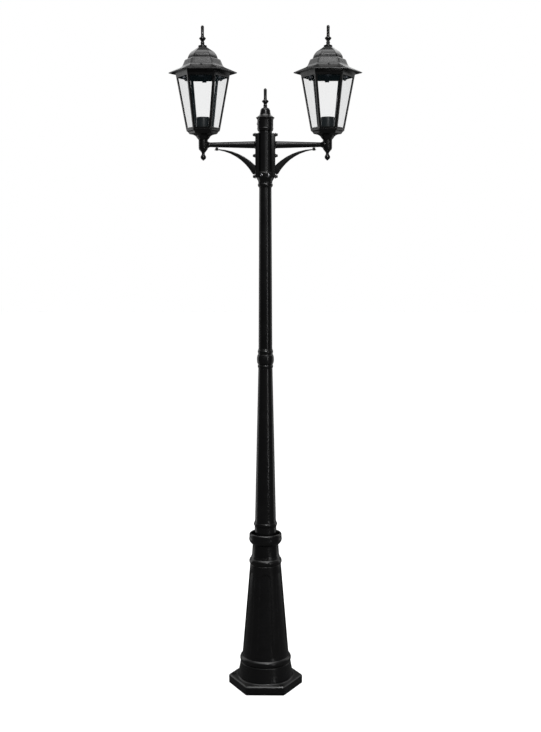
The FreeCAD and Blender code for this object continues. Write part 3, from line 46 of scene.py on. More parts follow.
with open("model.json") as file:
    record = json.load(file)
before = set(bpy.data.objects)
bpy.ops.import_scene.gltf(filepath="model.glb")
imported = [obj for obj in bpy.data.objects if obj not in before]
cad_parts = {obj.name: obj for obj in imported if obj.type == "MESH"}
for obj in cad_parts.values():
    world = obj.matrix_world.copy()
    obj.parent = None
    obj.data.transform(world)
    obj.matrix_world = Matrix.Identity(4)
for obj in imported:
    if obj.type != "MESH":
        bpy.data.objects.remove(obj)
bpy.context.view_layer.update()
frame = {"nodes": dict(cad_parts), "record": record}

MM = 0.001
SIDES = {"left": -1, "right": 1}
APOTHEM = math.sqrt(3) / 2


def lowest(node):
    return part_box(node)[0].z / MM


def highest(node):
    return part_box(node)[1].z / MM


COLLAR_TOP = highest("base_casting")
SHAFT_FOOT = lowest("lower_shaft")
SHAFT_TOP = highest("lower_shaft")
TUBE_FOOT = lowest("upper_tube")
HUB_FOOT = lowest("hub")
HUB_TOP = lowest("hub_cap")
CAP_TOP = highest("hub_cap")
LANTERN_FOOT = lowest("lantern_tray_left")
ARM_HEIGHT = LANTERN_FOOT - 15.5
DRUM_FOOT = ARM_HEIGHT - 106
ROOF_SEAT = LANTERN_FOOT + 217
REACH = (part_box("lantern_tray_right")[0].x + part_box("lantern_tray_right")[1].x) / 2 / MM
PLATE_FACE = 32.5
PLATE_SCREW_LEVELS = (-102, -35, 32)
STEM_FOOT = 19.5
PAD_INSET, PAD_DROP = 44, 17.5
CAGE_BOTTOM, CAGE_LID, CAGE_TOP = 33, 214, 217
CAGE_WALL = 4.5
PANE_THICKNESS = 2.5
ROOF_CROWN = 81.5
FINE_STEPS = [2.5 * i for i in range(144)]
FLOOR_HALF = 20000


# ------------------------------------------------------------------ settings a user would change

class LampPostSizes(bpy.types.PropertyGroup):
    """Small sizes of the castings and screws."""

    edge_round: bpy.props.FloatProperty(
        name="Edge rounding", description="Radius left on the castings' edges by the mould",
        default=0.7 * MM, unit="LENGTH")
    panel_depth: bpy.props.FloatProperty(
        name="Panel depth", description="Depth of the arched panels in the foot's column",
        default=2.6 * MM, unit="LENGTH")
    around: bpy.props.IntProperty(
        name="Steps round a turning", description="Points round each turned casting",
        default=96, min=24)
    hip_round: bpy.props.FloatProperty(
        name="Hip rounding", description="Radius along the corners of the lanterns and roofs",
        default=1.6 * MM, unit="LENGTH")
    screw_spin: bpy.props.IntProperty(
        name="Screw seed", description="Seed for how far round each screw was driven", default=7)
    thread_pitch: bpy.props.FloatProperty(
        name="Lamp thread pitch", description="Pitch of the rolled thread in the screw shells",
        default=3.62 * MM, unit="LENGTH")


class LampPostFinish(bpy.types.PropertyGroup):
    """Colours and gloss of the finishes."""

    coating: bpy.props.FloatVectorProperty(
        name="Coating", description="Colour of the powder coat", subtype="COLOR", size=3,
        default=(0.006, 0.006, 0.0063))
    coating_roughness: bpy.props.FloatProperty(
        name="Coating roughness", description="Mean roughness of the powder coat",
        default=0.26, min=0, max=1)
    glass: bpy.props.FloatVectorProperty(
        name="Glass", description="Tint of the panes", subtype="COLOR", size=3,
        default=(0.09, 0.15, 0.18))
    glass_cover: bpy.props.FloatProperty(
        name="Glass cover", description="How much of the view a pane takes face on",
        default=0.045, min=0, max=1)


class LampPostStudio(bpy.types.PropertyGroup):
    """The view and the lights."""

    distance: bpy.props.FloatProperty(
        name="Camera distance", description="From the post's axis, level", default=3.49,
        unit="LENGTH")
    height: bpy.props.FloatProperty(
        name="Camera height", description="Above the ground", default=1.502, unit="LENGTH")
    bearing: bpy.props.FloatProperty(
        name="Camera bearing", description="Round the post from the front towards the right",
        default=math.radians(0.8), subtype="ANGLE")
    tilt: bpy.props.FloatProperty(
        name="Camera tilt", description="Down from level", default=math.radians(6.6),
        subtype="ANGLE")
    roll: bpy.props.FloatProperty(
        name="Camera roll", description="Lean of the picture", default=math.radians(0.0),
        subtype="ANGLE")
    aside: bpy.props.FloatProperty(
        name="Camera aside", description="Of the line that meets the post", default=0.0169,
        unit="LENGTH")
    lens: bpy.props.FloatProperty(name="Lens", description="Focal length", default=51.87,
                                  unit="CAMERA")
    paper: bpy.props.FloatProperty(
        name="Backdrop", description="Brightness of the white behind everything", default=1.0)
    room: bpy.props.FloatProperty(
        name="Room light", description="Light that reaches the post from all round", default=0.05)


# ------------------------------------------------------------------ outlines

def through(start, via, end):
    """Points on the arc from start through via to end, without the start."""
    (ax, ay), (bx, by), (cx, cy) = start, via, end
    twice = 2 * (ax * (by - cy) + bx * (cy - ay) + cx * (ay - by))
    ux = ((ax * ax + ay * ay) * (by - cy) + (bx * bx + by * by) * (cy - ay)
          + (cx * cx + cy * cy) * (ay - by)) / twice
    uy = ((ax * ax + ay * ay) * (cx - bx) + (bx * bx + by * by) * (ax - cx)
          + (cx * cx + cy * cy) * (bx - ax)) / twice
    radius = math.hypot(ax - ux, ay - uy)
    first = math.atan2(ay - uy, ax - ux)
    swing = math.atan2(cy - uy, cx - ux) - first
    middle = math.atan2(by - uy, bx - ux) - first
    swing %= 2 * math.pi
    middle %= 2 * math.pi
    if middle > swing:
        swing -= 2 * math.pi
    steps = max(4, math.ceil(abs(swing) / math.radians(8)))
    return [(ux + radius * math.cos(first + swing * i / steps),
             uy + radius * math.sin(first + swing * i / steps)) for i in range(1, steps + 1)]


def trace(outline):
    """An outline's points, with each ("arc", via, end) drawn out."""
    points = []
    for item in outline:
        if item[0] == "arc":
            points += through(points[-1], item[1], item[2])
        else:
            points.append(item)
    return points


def soften(points, radius, closed):
    """Round every corner of a row of points that turns by more than a few degrees."""
    out = []
    count = len(points)
    for i, here in enumerate(points):
        ends = not closed and i in (0, count - 1)
        corner = Vector(here)
        before = Vector(points[i - 1]) - corner
        after = Vector(points[(i + 1) % count]) - corner
        if ends or before.length < 1e-6 or after.length < 1e-6:
            out.append(here)
            continue
        turn = math.pi - before.angle(after)
        if turn < math.radians(14):
            out.append(here)
            continue
        run = min(radius * math.tan(turn / 2) + 0.05, before.length * 0.45, after.length * 0.45)
        first = corner + before.normalized() * run
        last = corner + after.normalized() * run
        for t in (0, 0.25, 0.5, 0.75, 1):
            point = first * (1 - t) ** 2 + corner * 2 * t * (1 - t) + last * t * t
            out.append((point.x, point.y))
    return out


# ------------------------------------------------------------------ meshes

def circle_ring(radius, angles):
    return [(radius * math.cos(a), radius * math.sin(a)) for a in angles]


def even_angles(count):
    return [2 * math.pi * i / count for i in range(count)]


def hex_ring(corner_radius, rounding, arc_steps=4, side_steps=6):
    """A hexagon with two rounded corners on X; the number of points is always the same."""
    inside = corner_radius * APOTHEM
    rounding = min(rounding, inside * 0.6)
    centre = (inside - rounding) / APOTHEM
    points = []
    for corner in range(6):
        at = math.radians(60 * corner)
        base = Vector((centre * math.cos(at), centre * math.sin(at)))
        arc = []
        for step in range(arc_steps + 1):
            a = at + math.radians(-30 + 60 * step / arc_steps)
            arc.append(base + Vector((math.cos(a), math.sin(a))) * rounding)
        nxt = math.radians(60 * corner + 60)
        far = Vector((centre * math.cos(nxt), centre * math.sin(nxt)))
        far += Vector((math.cos(nxt - math.radians(30)),
                       math.sin(nxt - math.radians(30)))) * rounding
        points += [(p.x, p.y) for p in arc]
        for step in range(1, side_steps):
            p = arc[-1].lerp(far, step / side_steps)
            points.append((p.x, p.y))
    return points


HEX_ANGLES = [math.atan2(y, x) for x, y in hex_ring(60, 1.6)]


class Shell:
    """A mesh under construction, in millimetres."""

    def __init__(self):
        self.mesh = bmesh.new()

    def point(self, x, y, z):
        return self.mesh.verts.new((x, y, z))

    def face(self, corners):
        unique = []
        for corner in corners:
            if corner not in unique:
                unique.append(corner)
        if len(unique) > 2:
            self.mesh.faces.new(unique)

    def strip(self, rings, closed_way=False):
        """Quads between rings of points; a ring of one point is a pole."""
        made = [[self.point(*p) for p in ring] for ring in rings]
        pairs = list(zip(made, made[1:])) + ([(made[-1], made[0])] if closed_way else [])
        for one, two in pairs:
            count = max(len(one), len(two))
            for i in range(count):
                j = (i + 1) % count
                self.face([one[i % len(one)], one[j % len(one)], two[j % len(two)],
                           two[i % len(two)]])
        return made

    def bar(self, rings):
        """A solid through rings of points, closed at both ends by fans to their middles."""
        ends = [[tuple(sum(c) / len(ring) for c in zip(*ring))] for ring in (rings[0], rings[-1])]
        self.strip([ends[0], *rings, ends[1]])

    def turned(self, outline, around, rounding, closed, matrix=None):
        """Turn an outline about Z.  Ends on the axis become poles."""
        points = soften(trace(outline), rounding, closed)
        angles = even_angles(around)
        rings = []
        for radius, z in points:
            ring = [(0.0, 0.0)] if radius < 1e-6 else circle_ring(radius, angles)
            rings.append([tuple((matrix or Matrix()) @ Vector((x, y, z))) for x, y in ring])
        self.strip(rings, closed_way=closed)

    def rows(self, rows, closed=True):
        """Rings of (radius, height, "hex" or "round", corner rounding)."""
        rings = []
        for radius, z, kind, rounding in rows:
            if radius < 1e-6:
                ring = [(0.0, 0.0)]
            elif kind == "hex":
                ring = hex_ring(radius, rounding)
            else:
                ring = circle_ring(radius, HEX_ANGLES)
            rings.append([(x, y, z) for x, y in ring])
        self.strip(rings, closed_way=closed)

    def moved(self, matrix):
        self.mesh.transform(matrix)
        return self

    def to_mesh(self, name, sharp=32):
        """Weld, turn outwards, scale to metres and smooth all but the sharp edges."""
        bm = self.mesh
        bmesh.ops.remove_doubles(bm, verts=bm.verts, dist=1e-4)
        bmesh.ops.dissolve_degenerate(bm, dist=1e-5, edges=bm.edges)
        bmesh.ops.recalc_face_normals(bm, faces=bm.faces)
        bmesh.ops.scale(bm, vec=(MM, MM, MM), verts=bm.verts)
        crisp(bm, sharp)
        mesh = bpy.data.meshes.new(name)
        bm.to_mesh(mesh)
        bm.free()
        return mesh


def crisp(bm, degrees):
    limit = math.radians(degrees)
    for face in bm.faces:
        face.smooth = True
    for edge in bm.edges:
        edge.smooth = not (len(edge.link_faces) == 2 and edge.calc_face_angle(0) > limit)


def hex_rows(outline, rounding, kind="hex", corner=1.6):
    """Rows for Shell.rows from a softened outline of (corner radius, height)."""
    return [(r, z, kind, corner) for r, z in soften(trace(outline), rounding, False)]


def new_object(name, mesh):
    obj = bpy.data.objects.new(name, mesh)
    bpy.context.scene.collection.objects.link(obj)
    return obj


def flattened(obj, sharp=32):
    """The object with its modifiers made into one plain mesh."""
    view = bpy.context.evaluated_depsgraph_get()
    mesh = bpy.data.meshes.new_from_object(obj.evaluated_get(view), depsgraph=view)
    bm = bmesh.new()
    bm.from_mesh(mesh)
    crisp(bm, sharp)
    bm.to_mesh(mesh)
    bm.free()
    obj.modifiers.clear()
    obj.data = mesh
    return obj


def drilled(obj, cutters, sharp=32):
    """Cut the cutters' shape out of an object and remove them."""
    tool = new_object(obj.name + "_drill", cutters.to_mesh(obj.name + "_drill"))
    cut = obj.modifiers.new("drill", "BOOLEAN")
    cut.operation = "DIFFERENCE"
    cut.solver = "EXACT"
    cut.object = tool
    flattened(obj, sharp)
    bpy.data.objects.remove(tool)
    return obj


def piece(name, mesh, body, slot, *nodes):
    """Hang a finished mesh on its body in place of CAD nodes."""
    obj = mesh if isinstance(mesh, bpy.types.Object) else new_object(name, mesh)
    obj.name = name
    if not obj.data.materials:
        obj.data.materials.append(finishes()[slot])
    if nodes:
        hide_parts(*nodes)
    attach(obj, body)
    return obj


def at_lantern(side, z=LANTERN_FOOT):
    return Matrix.Translation((side * REACH, 0, z))


def half_turn(side):
    """The left side is the right one turned half round the post."""
    return Matrix.Rotation(0 if side > 0 else math.pi, 4, "Z")


# ------------------------------------------------------------------ node trees

class Socket:
    """An output socket that can be used in sums."""

    def __init__(self, net, socket):
        self.net = net
        self.socket = socket

    def _math(self, operation, *values):
        kind = "ShaderNodeMath"
        return self.net.add(kind, {"operation": operation}, dict(enumerate(values)))

    def __add__(self, other):
        return self._math("ADD", self, other)

    def __radd__(self, other):
        return self._math("ADD", other, self)

    def __sub__(self, other):
        return self._math("SUBTRACT", self, other)

    def __rsub__(self, other):
        return self._math("SUBTRACT", other, self)

    def __mul__(self, other):
        return self._math("MULTIPLY", self, other)

    def __rmul__(self, other):
        return self._math("MULTIPLY", other, self)


class Net:
    """A node tree, filled by one method."""

    def __init__(self, tree):
        self.tree = tree

    def add(self, kind, settings=None, inputs=None, out=0):
        node = self.tree.nodes.new(kind)
        for name, value in (settings or {}).items():
            setattr(node, name, value)
        for name, value in (inputs or {}).items():
            self.feed(node.inputs[name], value)
        return Socket(self, node.outputs[out])

    def feed(self, target, value):
        if isinstance(value, Socket):
            self.tree.links.new(value.socket, target)
        else:
            target.default_value = value

    def ramp(self, value, low, high):
        """0 below low, 1 above high and even in between."""
        return self.add("ShaderNodeMapRange", {}, {0: value, 1: low, 2: high, 3: 0.0, 4: 1.0})

    def mix(self, factor, one, two):
        return self.add("ShaderNodeMix", {"data_type": "RGBA"}, {0: factor, 6: one, 7: two}, out=2)

    def vector(self, z, across=0.0):
        return self.add("ShaderNodeCombineXYZ", {}, {0: across, 1: across, 2: z})

    def raised(self, geometry, rise):
        return self.add("GeometryNodeTransform", {},
                        {"Geometry": geometry, "Translation": self.vector(rise)})

    def cylinder(self, corners, radius, depth, segments=1):
        return self.add("GeometryNodeMeshCylinder", {"fill_type": "NGON"},
                        {"Vertices": corners, "Side Segments": segments, "Radius": radius,
                         "Depth": depth})


def surface(name, colour, roughness, metallic=0.0, **fixed):
    """A new material with its shader; returns the material, its net and the shader node."""
    material = bpy.data.materials.new(name)
    material.use_nodes = True
    material.node_tree.nodes.clear()
    net = Net(material.node_tree)
    shader = material.node_tree.nodes.new("ShaderNodeBsdfPrincipled")
    output = material.node_tree.nodes.new("ShaderNodeOutputMaterial")
    material.node_tree.links.new(shader.outputs[0], output.inputs["Surface"])
    shader.inputs["Base Color"].default_value = (*colour, 1)
    shader.inputs["Roughness"].default_value = roughness
    shader.inputs["Metallic"].default_value = metallic
    for socket, value in fixed.items():
        shader.inputs[socket.replace("_", " ")].default_value = value
    return material, net, shader


def grain(net, scale, detail=2.0, roughness=0.5, stretch=None):
    """Noise on the object's own coordinates."""
    place = net.add("ShaderNodeTexCoord", out=3)
    if stretch:
        place = net.add("ShaderNodeMapping", {}, {"Vector": place, "Scale": stretch})
    return net.add("ShaderNodeTexNoise", {"noise_dimensions": "3D"},
                   {"Vector": place, "Scale": scale, "Detail": detail, "Roughness": roughness})


def tones(net, factor, dark, light):
    """Two colours mixed by a factor."""
    return net.mix(net.ramp(factor, 0.3, 0.7), (*dark, 1), (*light, 1))


def shade(colour, factor):
    return tuple(min(1.0, c * factor) for c in colour)


def dress(net, shader, colour, roughness, layers):
    """Feed colour, roughness and bump layers, each (height, strength, distance in metres)."""
    net.feed(shader.inputs["Base Color"], colour)
    net.feed(shader.inputs["Roughness"], roughness)
    normal = None
    for height, strength, distance in layers:
        inputs = {"Height": height, "Strength": strength, "Distance": distance}
        if normal is not None:
            inputs["Normal"] = normal
        normal = net.add("ShaderNodeBump", {}, inputs)
    net.feed(shader.inputs["Normal"], normal)


def cast_coating(name, colour, roughness, lift=1.0):
    """Satin powder coat over a sand-cast skin: soft waves, orange peel, a fine grain and a painted
    sheen on faces turned upward.
    """
    material, net, shader = surface(name, colour, roughness, IOR=1.5)
    waves = grain(net, 26, 3.0)
    peel = grain(net, 420, 2.0, 0.55)
    fine = grain(net, 1700, 2.0, 0.6)
    normal = net.add("ShaderNodeNewGeometry", out=1)
    upward = net.ramp(net.add("ShaderNodeSeparateXYZ", {}, {0: normal}, out=2), 0.25, 1.0)
    # Painted sheen: faces turned upward are painted lighter in patches and made rougher, standing
    # in for the reflection of the bright room above.
    painted_top_sheen = upward * grain(net, 95, 4.0, 0.65)
    base = tones(net, waves, shade(colour, 0.8), shade(colour, 1.25))
    dress(net, shader, net.mix(painted_top_sheen * 0.34, base, (0.055, 0.055, 0.053, 1)),
          roughness - 0.07 + waves * 0.06 + fine * 0.08 + painted_top_sheen * 0.14,
          [(waves, 0.07 * lift, 0.0003), (peel, 0.13 * lift, 0.00005),
           (fine, 0.14 * lift, 0.00002)])
    return material


def metal(name, colour, roughness, stretch=(1, 1, 14)):
    """Plated or bright metal with a drawn grain and a few duller patches."""
    material, net, shader = surface(name, colour, roughness, metallic=1.0)
    patches = grain(net, 70, 3.0)
    lines = grain(net, 240, 3.0, 0.6, stretch)
    dress(net, shader, tones(net, patches, shade(colour, 0.82), shade(colour, 1.06)),
          roughness - 0.05 + lines * 0.1 + patches * 0.08, [(lines, 0.12, 0.00002)])
    return material


def moulded(name, colour, roughness, scale=900):
    """Moulded plastic with a fine spark-eroded texture."""
    material, net, shader = surface(name, colour, roughness)
    cloud = grain(net, 60)
    fine = grain(net, scale, 2.0, 0.6)
    dress(net, shader, tones(net, cloud, shade(colour, 0.88), shade(colour, 1.08)),
          roughness - 0.05 + fine * 0.1, [(fine, 0.2, 0.00003)])
    return material


def glazed(name, colour):
    """White glazed ceramic: a faint mottle under a smooth glaze with small waves."""
    material, net, shader = surface(name, colour, 0.16, Coat_Weight=0.4, Coat_Roughness=0.05)
    mottle = grain(net, 160, 4.0)
    dress(net, shader, tones(net, mottle, shade(colour, 0.93), shade(colour, 1.02)),
          0.13 + mottle * 0.08, [(grain(net, 110, 1.0), 0.15, 0.0001)])
    return material


def pane_glass(name, colour, cover):
    """Clear float glass: nearly see-through face on, more of a mirror at a glancing angle."""
    material, net, shader = surface(name, colour, 0.03, IOR=1.5)
    film = grain(net, 34, 4.0, 0.6)
    glance = net.add("ShaderNodeLayerWeight", {}, {"Blend": 0.2}, out=0)
    net.feed(shader.inputs["Alpha"], cover - 0.01 + glance * 0.06 + film * 0.01)
    dress(net, shader, tones(net, film, shade(colour, 0.97), shade(colour, 1.03)),
          0.02 + film * 0.05, [(grain(net, 9, 1.0), 0.1, 0.0006)])
    return material


def floor_paper(name):
    """Matt white studio paper that looks lit to the camera and is dim for every other ray."""
    material, net, shader = surface(name, (0.86, 0.86, 0.86), 0.7, Emission_Strength=0.6,
                                    Emission_Color=(1, 1, 1, 1))
    sheet = tones(net, grain(net, 1.3), (0.855, 0.857, 0.86), (0.875, 0.875, 0.875))
    dress(net, shader, sheet, 0.7, [(grain(net, 300, 3.0), 0.05, 0.0001)])
    bounce = net.add("ShaderNodeBsdfDiffuse", {}, {"Color": (0.09, 0.09, 0.09, 1)})
    seen = net.add("ShaderNodeLightPath", out=0)
    mixed = net.add("ShaderNodeMixShader", {},
                    {0: seen, 1: bounce, 2: Socket(net, shader.outputs[0])})
    end = next(node for node in material.node_tree.nodes if node.type == "OUTPUT_MATERIAL")
    net.feed(end.inputs["Surface"], mixed)
    return material


_made = {}


def finishes():
    """The materials, made on first use and named by the record's slots."""
    if not _made:
        finish = bpy.context.scene.lamp_post_finish
        coating = tuple(finish.coating)
        for maker, name, *values in (
                (cast_coating, "black_coating", coating, finish.coating_roughness),
                (cast_coating, "black_fixing", shade(coating, 1.6), 0.3, 0.5),
                (metal, "steel_fixing", (0.5, 0.5, 0.52), 0.34),
                (metal, "spring_steel", (0.11, 0.12, 0.14), 0.38, (1, 18, 1)),
                (metal, "brass", (0.72, 0.53, 0.25), 0.24),
                (pane_glass, "clear_glass", tuple(finish.glass), finish.glass_cover),
                (moulded, "holder_plastic", (0.02, 0.02, 0.021), 0.34),
                (glazed, "holder_ceramic", (0.84, 0.83, 0.8)),
                (moulded, "block_plastic", (0.78, 0.77, 0.72), 0.45),
                (moulded, "cable_sheath", (0.03, 0.03, 0.031), 0.42, 500)):
            _made[name] = maker(name, *values)
    return _made


# ------------------------------------------------------------------ geometry node groups

def new_group(name, sockets):
    """A new node group; returns its net and its inputs by name."""
    tree = bpy.data.node_groups.new(name, "GeometryNodeTree")
    for label, kind, default in (("Geometry", "Geometry", None), *sockets,
                                 ("Material", "Material", None)):
        socket = tree.interface.new_socket(label, in_out="INPUT", socket_type="NodeSocket" + kind)
        if default is not None:
            socket.default_value = default
    tree.interface.new_socket("Geometry", in_out="OUTPUT", socket_type="NodeSocketGeometry")
    net = Net(tree)
    start = tree.nodes.new("NodeGroupInput")
    return net, {s.name: Socket(net, s) for s in start.outputs if s.name}


def end_group(net, instances, material):
    """Make the instances real, in the material, and send them out of the group."""
    real = net.add("GeometryNodeRealizeInstances", {}, {0: instances})
    done = net.add("GeometryNodeSetMaterial", {}, {"Geometry": real, "Material": material})
    net.feed(net.tree.nodes.new("NodeGroupOutput").inputs[0], done)
    return net.tree


def ring_group():
    """Copies of one piece, turned round an upright axis."""
    tree = bpy.data.node_groups.get("ring of copies")
    if tree:
        return tree
    net, given = new_group("ring of copies", [("Count", "Int", 6), ("Axis", "Vector", None)])
    whole = net.add("GeometryNodeGeometryToInstance", {}, {0: given["Geometry"]})
    copies = net.tree.nodes.new("GeometryNodeDuplicateElements")
    copies.domain = "INSTANCE"
    net.feed(copies.inputs["Geometry"], whole)
    net.feed(copies.inputs["Amount"], given["Count"])
    index = Socket(net, copies.outputs["Duplicate Index"])
    step = net.add("ShaderNodeMath", {"operation": "DIVIDE"}, {0: 2 * math.pi, 1: given["Count"]})
    turned = net.add("GeometryNodeRotateInstances", {},
                     {"Instances": Socket(net, copies.outputs["Geometry"]),
                      "Rotation": net.vector(index * step), "Pivot Point": given["Axis"],
                      "Local Space": False})
    return end_group(net, turned, given["Material"])


def screw_group():
    """A socket screw on every point, driven along the point's own direction."""
    tree = bpy.data.node_groups.get("screws on points")
    if tree:
        return tree
    net, given = new_group("screws on points", [
        ("Head radius", "Float", 0.004), ("Head height", "Float", 0.003),
        ("Shank radius", "Float", 0.002), ("Shank length", "Float", 0.01), ("Seed", "Int", 1)])
    radius, height = given["Head radius"], given["Head height"]

    position = net.add("GeometryNodeInputPosition")
    level = net.add("ShaderNodeSeparateXYZ", {}, {0: position}, out=2)
    rise = net.ramp(level, height * 0.12, height * 0.5)
    narrowed = net.add("ShaderNodeVectorMath", {"operation": "MULTIPLY"},
                       {0: position, 1: net.vector(1.0, 1 - rise * rise * 0.3)})
    domed = net.add("GeometryNodeSetPosition", {},
                    {"Geometry": net.cylinder(32, radius, height, 6), "Position": narrowed})
    socket = net.raised(net.cylinder(6, radius * 0.48, height), height * 0.45)
    hollow = net.add("GeometryNodeMeshBoolean", {"operation": "DIFFERENCE", "solver": "EXACT"},
                     {0: domed, 1: socket})
    shank = net.cylinder(20, given["Shank radius"], given["Shank length"])
    join = net.tree.nodes.new("GeometryNodeJoinGeometry")
    net.feed(join.inputs[0], net.raised(hollow, height * 0.5))
    net.feed(join.inputs[0], net.raised(shank, given["Shank length"] * -0.5))

    way = net.add("GeometryNodeInputNamedAttribute", {"data_type": "FLOAT_VECTOR"},
                  {"Name": "outward"})
    facing = net.add("FunctionNodeAlignRotationToVector", {"axis": "Z"}, {"Vector": way})
    chance = net.add("FunctionNodeRandomValue", {"data_type": "FLOAT"},
                     {2: 0.0, 3: math.pi / 3, "Seed": given["Seed"]}, out=1)
    spun = net.add("FunctionNodeRotateRotation", {"rotation_space": "LOCAL"},
                   {0: facing, 1: net.vector(chance)})
    placed = net.add("GeometryNodeInstanceOnPoints", {},
                     {"Points": given["Geometry"], "Instance": Socket(net, join.outputs[0]),
                      "Rotation": spun})
    return end_group(net, placed, given["Material"])


def grown(obj, tree, values):
    """Run a node group on an object with these inputs and keep the plain mesh."""
    modifier = obj.modifiers.new("nodes", "NODES")
    modifier.node_group = tree
    identifiers = {item.name: item.identifier for item in tree.interface.items_tree
                   if item.in_out == "INPUT"}
    for name, value in values.items():
        modifier[identifiers[name]] = value
    return flattened(obj)


def screws(name, spots, head, shank, body, node, slot="black_fixing"):
    """Screws at spots of (place, direction) in millimetres, with head and shank sizes."""
    mesh = bpy.data.meshes.new(name)
    mesh.from_pydata([tuple(Vector(place) * MM) for place, _ in spots], [], [])
    outward = mesh.attributes.new("outward", "FLOAT_VECTOR", "POINT")
    for i, (_, direction) in enumerate(spots):
        outward.data[i].vector = Vector(direction).normalized()
    obj = new_object(name, mesh)
    grown(obj, screw_group(), {
        "Head radius": head[0] * MM, "Head height": head[1] * MM, "Shank radius": shank[0] * MM,
        "Shank length": shank[1] * MM, "Seed": settings().screw_spin,
        "Material": finishes()[slot]})
    return piece(name, obj, body, slot, node)


def settings():
    return bpy.context.scene.lamp_post_sizes


# ------------------------------------------------------------------ foot casting

COLUMN_FOOT, COLUMN_TOP = COLLAR_TOP - 415, COLLAR_TOP - 108
COLUMN_FOOT_RADIUS, COLUMN_TOP_RADIUS = 78.4, 52.5
PANEL_SILL, PANEL_FADE = 8, 30
ACROSS, UP = 24, 14
AROUND = 2 * (ACROSS + UP)


def column_radius(z):
    share = (z - COLUMN_FOOT) / (COLUMN_TOP - COLUMN_FOOT)
    return COLUMN_FOOT_RADIUS + (COLUMN_TOP_RADIUS - COLUMN_FOOT_RADIUS) * share


def panel_outline():
    """Arch-topped panel, as (across, height), from its lower left corner round to the left."""
    low, high = COLUMN_FOOT + PANEL_SILL, COLUMN_TOP - 24
    share = math.sin(math.radians(20))
    wide, narrow = COLUMN_FOOT_RADIUS * share, (COLUMN_TOP_RADIUS + 4) * share
    spring = high - narrow
    points = [(-wide + 2 * wide * i / ACROSS, low) for i in range(ACROSS)]
    points += [(wide + (narrow - wide) * i / UP, low + (spring - low) * i / UP) for i in range(UP)]
    arch = [math.pi * i / ACROSS for i in range(ACROSS)]
    points += [(narrow * math.cos(a), spring + narrow * math.sin(a)) for a in arch]
    points += [(-narrow - (wide - narrow) * i / UP, spring - (spring - low) * i / UP)
               for i in range(UP)]
    return points


def sector_edge():
    """Border of one sixth of the column, matched point for point with the panel's outline."""
    low, high = COLUMN_FOOT, COLUMN_TOP
    step = 60 / ACROSS
    edge = [(math.radians(-30 + step * i), low) for i in range(ACROSS)]
    edge += [(math.radians(30), low + (high - low) * i / UP) for i in range(UP)]
    edge += [(math.radians(30 - step * i), high) for i in range(ACROSS)]
    edge += [(math.radians(-30), high - (high - low) * i / UP) for i in range(UP)]
    return edge


def spread(points, distance):
    """A closed outline moved outwards by a distance."""
    moved = []
    count = len(points)
    for i, here in enumerate(points):
        before = Vector(here) - Vector(points[i - 1])
        after = Vector(points[(i + 1) % count]) - Vector(here)
        one = Vector((before.y, -before.x)).normalized()
        two = Vector((after.y, -after.x)).normalized()
        mean = (one + two) / (1 + one.dot(two))
        moved.append((here[0] + mean.x * distance, here[1] + mean.y * distance))
    return moved


def column_sector(shell, turn, depth):
    """One sixth of the column; its panel has soft shoulders and dies out towards the sill."""
    outline = panel_outline()

    def sunk(x, z, share=1.0):
        deep = depth * min(1, max(0, (z - COLUMN_FOOT - PANEL_SILL) / PANEL_FADE))
        return on_column(z, math.asin(x / column_radius(z)), deep * share, turn)

    loops = [[on_column(z, angle, 0, turn) for angle, z in sector_edge()]]
    for offset, share in ((1.2, 0), (0.7, 0.05), (0.25, 0.18), (-0.15, 0.38), (-0.55, 0.62),
                          (-1.0, 0.84), (-1.5, 0.96), (-2.2, 1.0)):
        inner = spread(outline, offset)
        loops.append([sunk(x, z, share) for x, z in inner])
    made = shell.strip(loops)[-1]
    previous = made[:ACROSS + 1]
    for row in range(1, UP + ACROSS // 2):
        start, stop = (AROUND - row) % AROUND, ACROSS + row
        left, right = inner[start], inner[stop]
        line = [made[start]]
        for i in range(1, ACROSS):
            x = left[0] + (right[0] - left[0]) * i / ACROSS
            z = left[1] + (right[1] - left[1]) * i / ACROSS
            line.append(shell.point(*sunk(x, z)))
        line.append(made[stop])
        for i in range(ACROSS):
            shell.face([previous[i], previous[i + 1], line[i + 1], line[i]])
        previous = line
    apex = made[UP + ACROSS * 3 // 2]
    for i in range(ACROSS):
        shell.face([previous[i], previous[i + 1], apex])


def on_column(z, angle, depth, turn):
    radius = column_radius(z) - depth
    a = angle + turn - math.pi / 2
    return radius * math.cos(a), radius * math.sin(a), z


